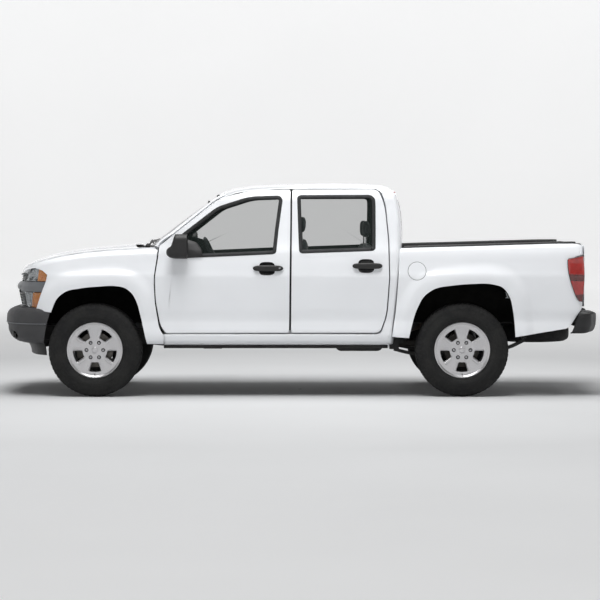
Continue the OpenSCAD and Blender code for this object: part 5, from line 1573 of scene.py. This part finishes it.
# wheel wells: felt liners from each arch's lip to the inner wall
def wellGrid(curve, ys, grow=0.006):
    centre = curve.mean(0) + (0, -0.25)
    outwards = curve - centre
    outwards /= np.linalg.norm(outwards, axis=1)[:, None]
    return np.stack([sheet(curve[:, 0] + outwards[:, 0] * g, y, curve[:, 1] + outwards[:, 1] * g) for y,
        g in ys])


rearWell = wellGrid(rearArch[::2], ((-0.852, 0.004), (-0.840, 0.007), (-0.760, 0.010), (-0.620, 0.010),
    (-0.582, 0.008)))
rearWellEnd = rearWell[-1]
wellWallFoot = sheet(rearWellEnd[:, 0], rearWellEnd[:, 1], np.minimum(rearWellEnd[:, 2], 0.62))
rearWellWall = between(rearWellEnd, wellWallFoot, 6)
liner = splineThrough([(-2.196, 0.560), (-2.190, 0.700), (-2.150, 0.860), (-2.060, 0.930), (-1.730, 0.952),
    (-1.420, 0.945), (-1.320, 0.880), (-1.290, 0.740), (-1.276, 0.560)], 80)
frontLip = evenly(sheet(frontArch[:, 0], frontArch[:, 1])[:138], 80)
lipGrid = wellGrid(frontLip, ((-0.852, 0.004), (-0.835, 0.008)))
linerEdge = sheet(liner[:, 0], -0.800, liner[:, 1])
frontWell = np.concatenate([lipGrid, between(lipGrid[-1], linerEdge, 4)[1:]])
piece("rear_wheel_wells", onBothSides([rearWell, rearWellWall]), "linerFelt", thick=0.003,
    inside=(1.367, -0.7, 0.5))
piece("front_arch_edges", onBothSides([frontWell]), "linerFelt", thick=0.003, inside=(-1.73, -0.7, 0.5))
apron = between(sheet(liner[:, 0], -0.3795, liner[:, 1]), sheet(liner[:, 0], -0.3795,
    np.minimum(liner[:, 1], 0.60)), 6)
piece("front_aprons", onBothSides([apron]), "linerFelt", thick=0.002)

# engine bay: ribbed engine cover, air box with its duct, battery, coolant tank, strut tops and radiator
engineLow, engineHigh = nodeBox("engine")
coverX = np.linspace(engineLow[0] + 0.06, engineLow[0] + 0.50, 60)[:, None]
coverY = np.linspace(-0.190, 0.190, 61)[None]
coverEdge = np.clip(np.minimum(np.minimum(coverX - coverX[0], coverX[-1] - coverX), 0.190 - np.abs(coverY))
    / 0.020, 0, 1)
coverZ = engineHigh[2] - 0.004 + 0.036 * np.sqrt(1 - (1 - coverEdge) ** 2) + 0.006 * ease(-0.2, 0.4,
    np.cos(coverY * tau / 0.063)) * ease(0.03, 0.06, coverX - coverX[0]) * (coverEdge >= 1)
piece("engine_cover", [sheet(coverX, coverY, coverZ)], "trimPlastic", thick=0.003, inside=(-1.8, 0, 0.5))
boxes = {"air_box": ((-1.930, 0.400, 0.962), (-1.620, 0.640, 1.110), "tankPlastic", "chassis_black"),
    "battery": ((-1.640, -0.630, 0.962), (-1.440, -0.450, 1.130), "trimPlastic", "trim_plastic"),
    "coolant_tank": ((-1.960, -0.620, 0.962), (-1.780, -0.470, 1.090), "cabinGrey", "interior")}
for name, (low, high, finish, slot) in boxes.items():
    lid = softBlock((low[0] - 0.004, low[1] - 0.004, high[2] - 0.034),
        (high[0] + 0.004, high[1] + 0.004, high[2] - 0.014), 0.2)
    piece(name, [tube(softBlock(low, high, 0.22, 22, 40)), tube(lid)], finish, "chassis")
ductPath = sheet(through([0, 0.5, 1], [-1.700, -1.690, -1.700], np.linspace(0, 1, 24)),
    np.linspace(0.420, 0.170, 24), 1.060 + 0.030 * np.sin(np.linspace(0, math.pi, 24)))
ductRings = swept(ductPath, circle(0.040, 24))
ductRings += (ductRings - ductPath[:, None]) * 0.06 * np.cos(np.arange(24) * math.pi)[:, None, None]
piece("intake_duct", [tube(ductRings)], "sealRubber", smooth=0)
posts = [tube(turned([(0.0004, 0.018), (0.0075, 0.018), (0.0085, 0.016), (0.0090, 0.0)], (x, y, 1.126), 2,
    24)) for x, y in ((-1.600, -0.600), (-1.480, -0.600), (-1.870, -0.545))]
piece("battery_posts", posts, "nutSteel")
strutTops = [tube(turned([(0.0004, 0.030), (0.014, 0.030), (0.016, 0.020), (0.060, 0.016), (0.075, 0.004),
    (0.078, -0.010)], (-1.730, s * 0.560, 0.960), 2, 40)) for s in (-1, 1)]
piece("strut_tops", strutTops, "chassisPaint")
finY = np.linspace(-0.470, 0.470, 241)[None]
finZ = np.linspace(0.560, 1.030, 8)[:, None]
fins = sheet(-2.262 + 0.003 * np.cos(finY * tau / 0.012), finY, finZ)
piece("radiator_core", [fins], "brakeSteel", thick=0.004, inside=(-2.0, 0, 0.8))
piece("radiator_tanks", [tube(softBlock((-2.282, -0.490, z), (-2.238, 0.490, z + 0.048), 0.25, 12, 40))
    for z in (0.525, 1.010)], "tankPlastic")

# springs and dampers
damper = []
for s in (-1, 1):
    low, high = np.array((1.300, s * 0.500, 0.350)), np.array((1.150, s * 0.420, 0.740))
    path = low + (high - low) * np.linspace(0, 1, 20)[:, None]
    damper.append(tube(swept(path[:11], circle(0.026, 24), (1, 0, 0))))
    damper.append(tube(swept(path[10:], circle(0.031, 24), (1, 0, 0))))
    frontPath = np.array((-1.730, s * 0.430, 0.310)) + np.array((0.0, s * -0.02, 0.30)) * np.linspace(0, 1,
        20)[:, None]
    damper.append(tube(swept(frontPath, circle(0.027, 24), (1, 0, 0))))
piece("dampers", damper, "engineAlloy")
leaves = []
for s in (-1, 1):
    for number, (x0, x1, drop) in enumerate(((0.930, 1.800, 0.0), (1.060, 1.680, 0.009),
            (1.190, 1.550, 0.018))):
        leafX = np.linspace(x0, x1, 30)
        sag = through([0.810, 1.120, 1.367, 1.600, 1.925], [0.366, 0.306, 0.2925, 0.315, 0.444],
            leafX) - drop
        leafPath = sheet(leafX, s * 0.430, sag)
        leaves.append(tube(swept(leafPath, np.array([(-0.029, -0.004), (0.029, -0.004), (0.029, 0.004),
            (-0.029, 0.004)]))))
piece("helper_leaves", leaves, "chassisPaint")
clamps = [tube(softBlock((x, s * 0.430 - 0.040, 0.268), (x + 0.014, s * 0.430 + 0.040, 0.445), 0.2, 10,
    20)) for s in (-1, 1) for x in (1.318, 1.402)]
piece("spring_clamps", clamps, "chassisPaint")

# spare wheel: a tyre that lies flat under the bed, round a plain steel wheel
low, high = nodeBox("spare_wheel")
spareCentre = (low + high) / 2
spareTyre = np.array([(0.205, 0.055), (0.212, 0.070), (0.250, 0.078), (0.290, 0.074), (0.318, 0.058),
    (0.328, 0.040), (0.3300, 0.020), (0.3300, -0.020), (0.328, -0.040), (0.318, -0.058), (0.290, -0.074),
    (0.250, -0.078), (0.212, -0.070), (0.205, -0.055)])
spareRim = np.array([(0.0005, 0.030), (0.060, 0.030), (0.070, 0.022), (0.120, 0.020), (0.150, 0.034),
    (0.190, 0.036), (0.200, 0.060), (0.214, 0.066), (0.214, 0.058), (0.200, -0.058), (0.214, -0.062),
    (0.214, -0.066)])
piece("spare_tyre", [(turned(spareTyre, spareCentre, 2, 120), True, True)], "tyreRubber",
    replaced=["spare_wheel"])
piece("spare_rim", [tube(turned(spareRim, spareCentre, 2, 80))], "castIron", thick=0.003)
# black sill guard below each rocker
guard = [tube(swept(np.array([(x, s * 0.785, 0.415) for x in np.linspace(-1.150, 0.740, 40)]),
    np.array([(-0.012, -0.006), (0.012, -0.006), (0.016, 0.004), (0.012, 0.020), (-0.012, 0.020),
    (-0.016, 0.004)]))) for s in (-1, 1)]
piece("sill_guards", guard, "chassisPaint", smooth=0)
for name, finish in (("frame_rails", "chassisPaint"), ("crossmembers", "chassisPaint"),
        ("engine", "engineAlloy"), ("drive_shaft", "castIron"), ("fuel_tank", "tankPlastic"),
        ("exhaust", "exhaustSteel"), ("rear_axle", "castIron"), ("suspension", "chassisPaint"),
        ("wheel_liners", "linerFelt"), ("cab_floor", "floorCarpet"), ("knuckle_left", "castIron"),
        ("knuckle_right", "castIron")):
    refinish(name, finish)
print("underbody made")


# studio: a pale floor that curves up into a backdrop, soft lights, a camera square to the truck's left side
studio = {"eye": (0.0, -19.862, 1.592), "lens": 135.7, "aimDown": 2.33, "world": 0.08, "glow": 0.62,
    "glowFrom": 5.0, "glowTo": 16.0}


# seamless paper: even and pale, lit from behind more strongly with the distance from the truck
def backdropGlow(tree, place):
    away = addNode(tree, "ShaderNodeVectorMath", {"operation": "LENGTH"}, n0=place).outputs["Value"]
    glow = addNode(tree, "ShaderNodeMapRange", Value=away, From_Min=studio["glowFrom"],
        From_Max=studio["glowTo"], To_Min=0.0, To_Max=studio["glow"])
    return patterned(tree, place, "c6c7c8", "cbcccd", (3.0,
        3.0)) | {"Emission Strength": glow.outputs["Result"]}


def makeStudio():
    rise = np.linspace(0, math.pi / 2, 14)[1:]
    profile = np.vstack([np.stack([np.array([0.02, 4, 12, 20, 26]), np.zeros(5)], 1),
        np.stack([26 + 7 * np.sin(rise), 7 * (1 - np.cos(rise))], 1), [[33, 12]]])
    grid = turned(profile, (0, 0, 0), 2, 96)
    mesh = bpy.data.meshes.new("studio_floor")
    mesh.from_pydata(grid.reshape(-1, 3).tolist(), [], facesOf(*grid.shape[:2], False, True, 0).tolist())
    mesh.shade_smooth()
    floor = bpy.data.objects.new("studio_floor", mesh)
    bpy.context.scene.collection.objects.link(floor)
    mesh.materials.append(newMaterial("pale studio floor", {"Roughness": 0.9, "Specular IOR Level": 0.1,
        "Emission Color": "ffffff"}, backdropGlow))
    for name, place, aim, size, power in (("key", (-1.5, -4.6, 10.5), (0, 0, 0.9), 5.0, 620),
            ("fill", (8.0, -9.0, 5.0), (0, 0, 0.9), 6.0, 20), ("top", (0.0, -0.5, 9.5), (0, 0, 0), 8.0,
            760), ("back", (3.0, 9.0, 7.0), (0, 0, 1), 7.0, 160)):
        lamp = bpy.data.lights.new(name, "AREA")
        lamp.energy, lamp.size = power, size
        made = bpy.data.objects.new(name, lamp)
        made.location = place
        towardsAim = Vector(aim) - Vector(place)
        made.rotation_euler = towardsAim.to_track_quat("-Z", "Y").to_euler()
        bpy.context.scene.collection.objects.link(made)
    world = bpy.data.worlds.new("studio")
    world.use_nodes = True
    world.node_tree.nodes["Background"].inputs["Color"].default_value = (1, 1, 1, 1)
    world.node_tree.nodes["Background"].inputs["Strength"].default_value = studio["world"]
    bpy.context.scene.world = world
    lens = bpy.data.cameras.new("camera")
    lens.lens, lens.sensor_width, lens.clip_end = studio["lens"], 36, 200
    camera = bpy.data.objects.new("camera", lens)
    camera.location = studio["eye"]
    camera.rotation_euler = (math.radians(90 - studio["aimDown"]), 0, 0)
    bpy.context.scene.collection.objects.link(camera)
    bpy.context.scene.camera = camera
    bpy.context.scene.view_settings.view_transform = "Standard"


makeStudio()
print("studio made")
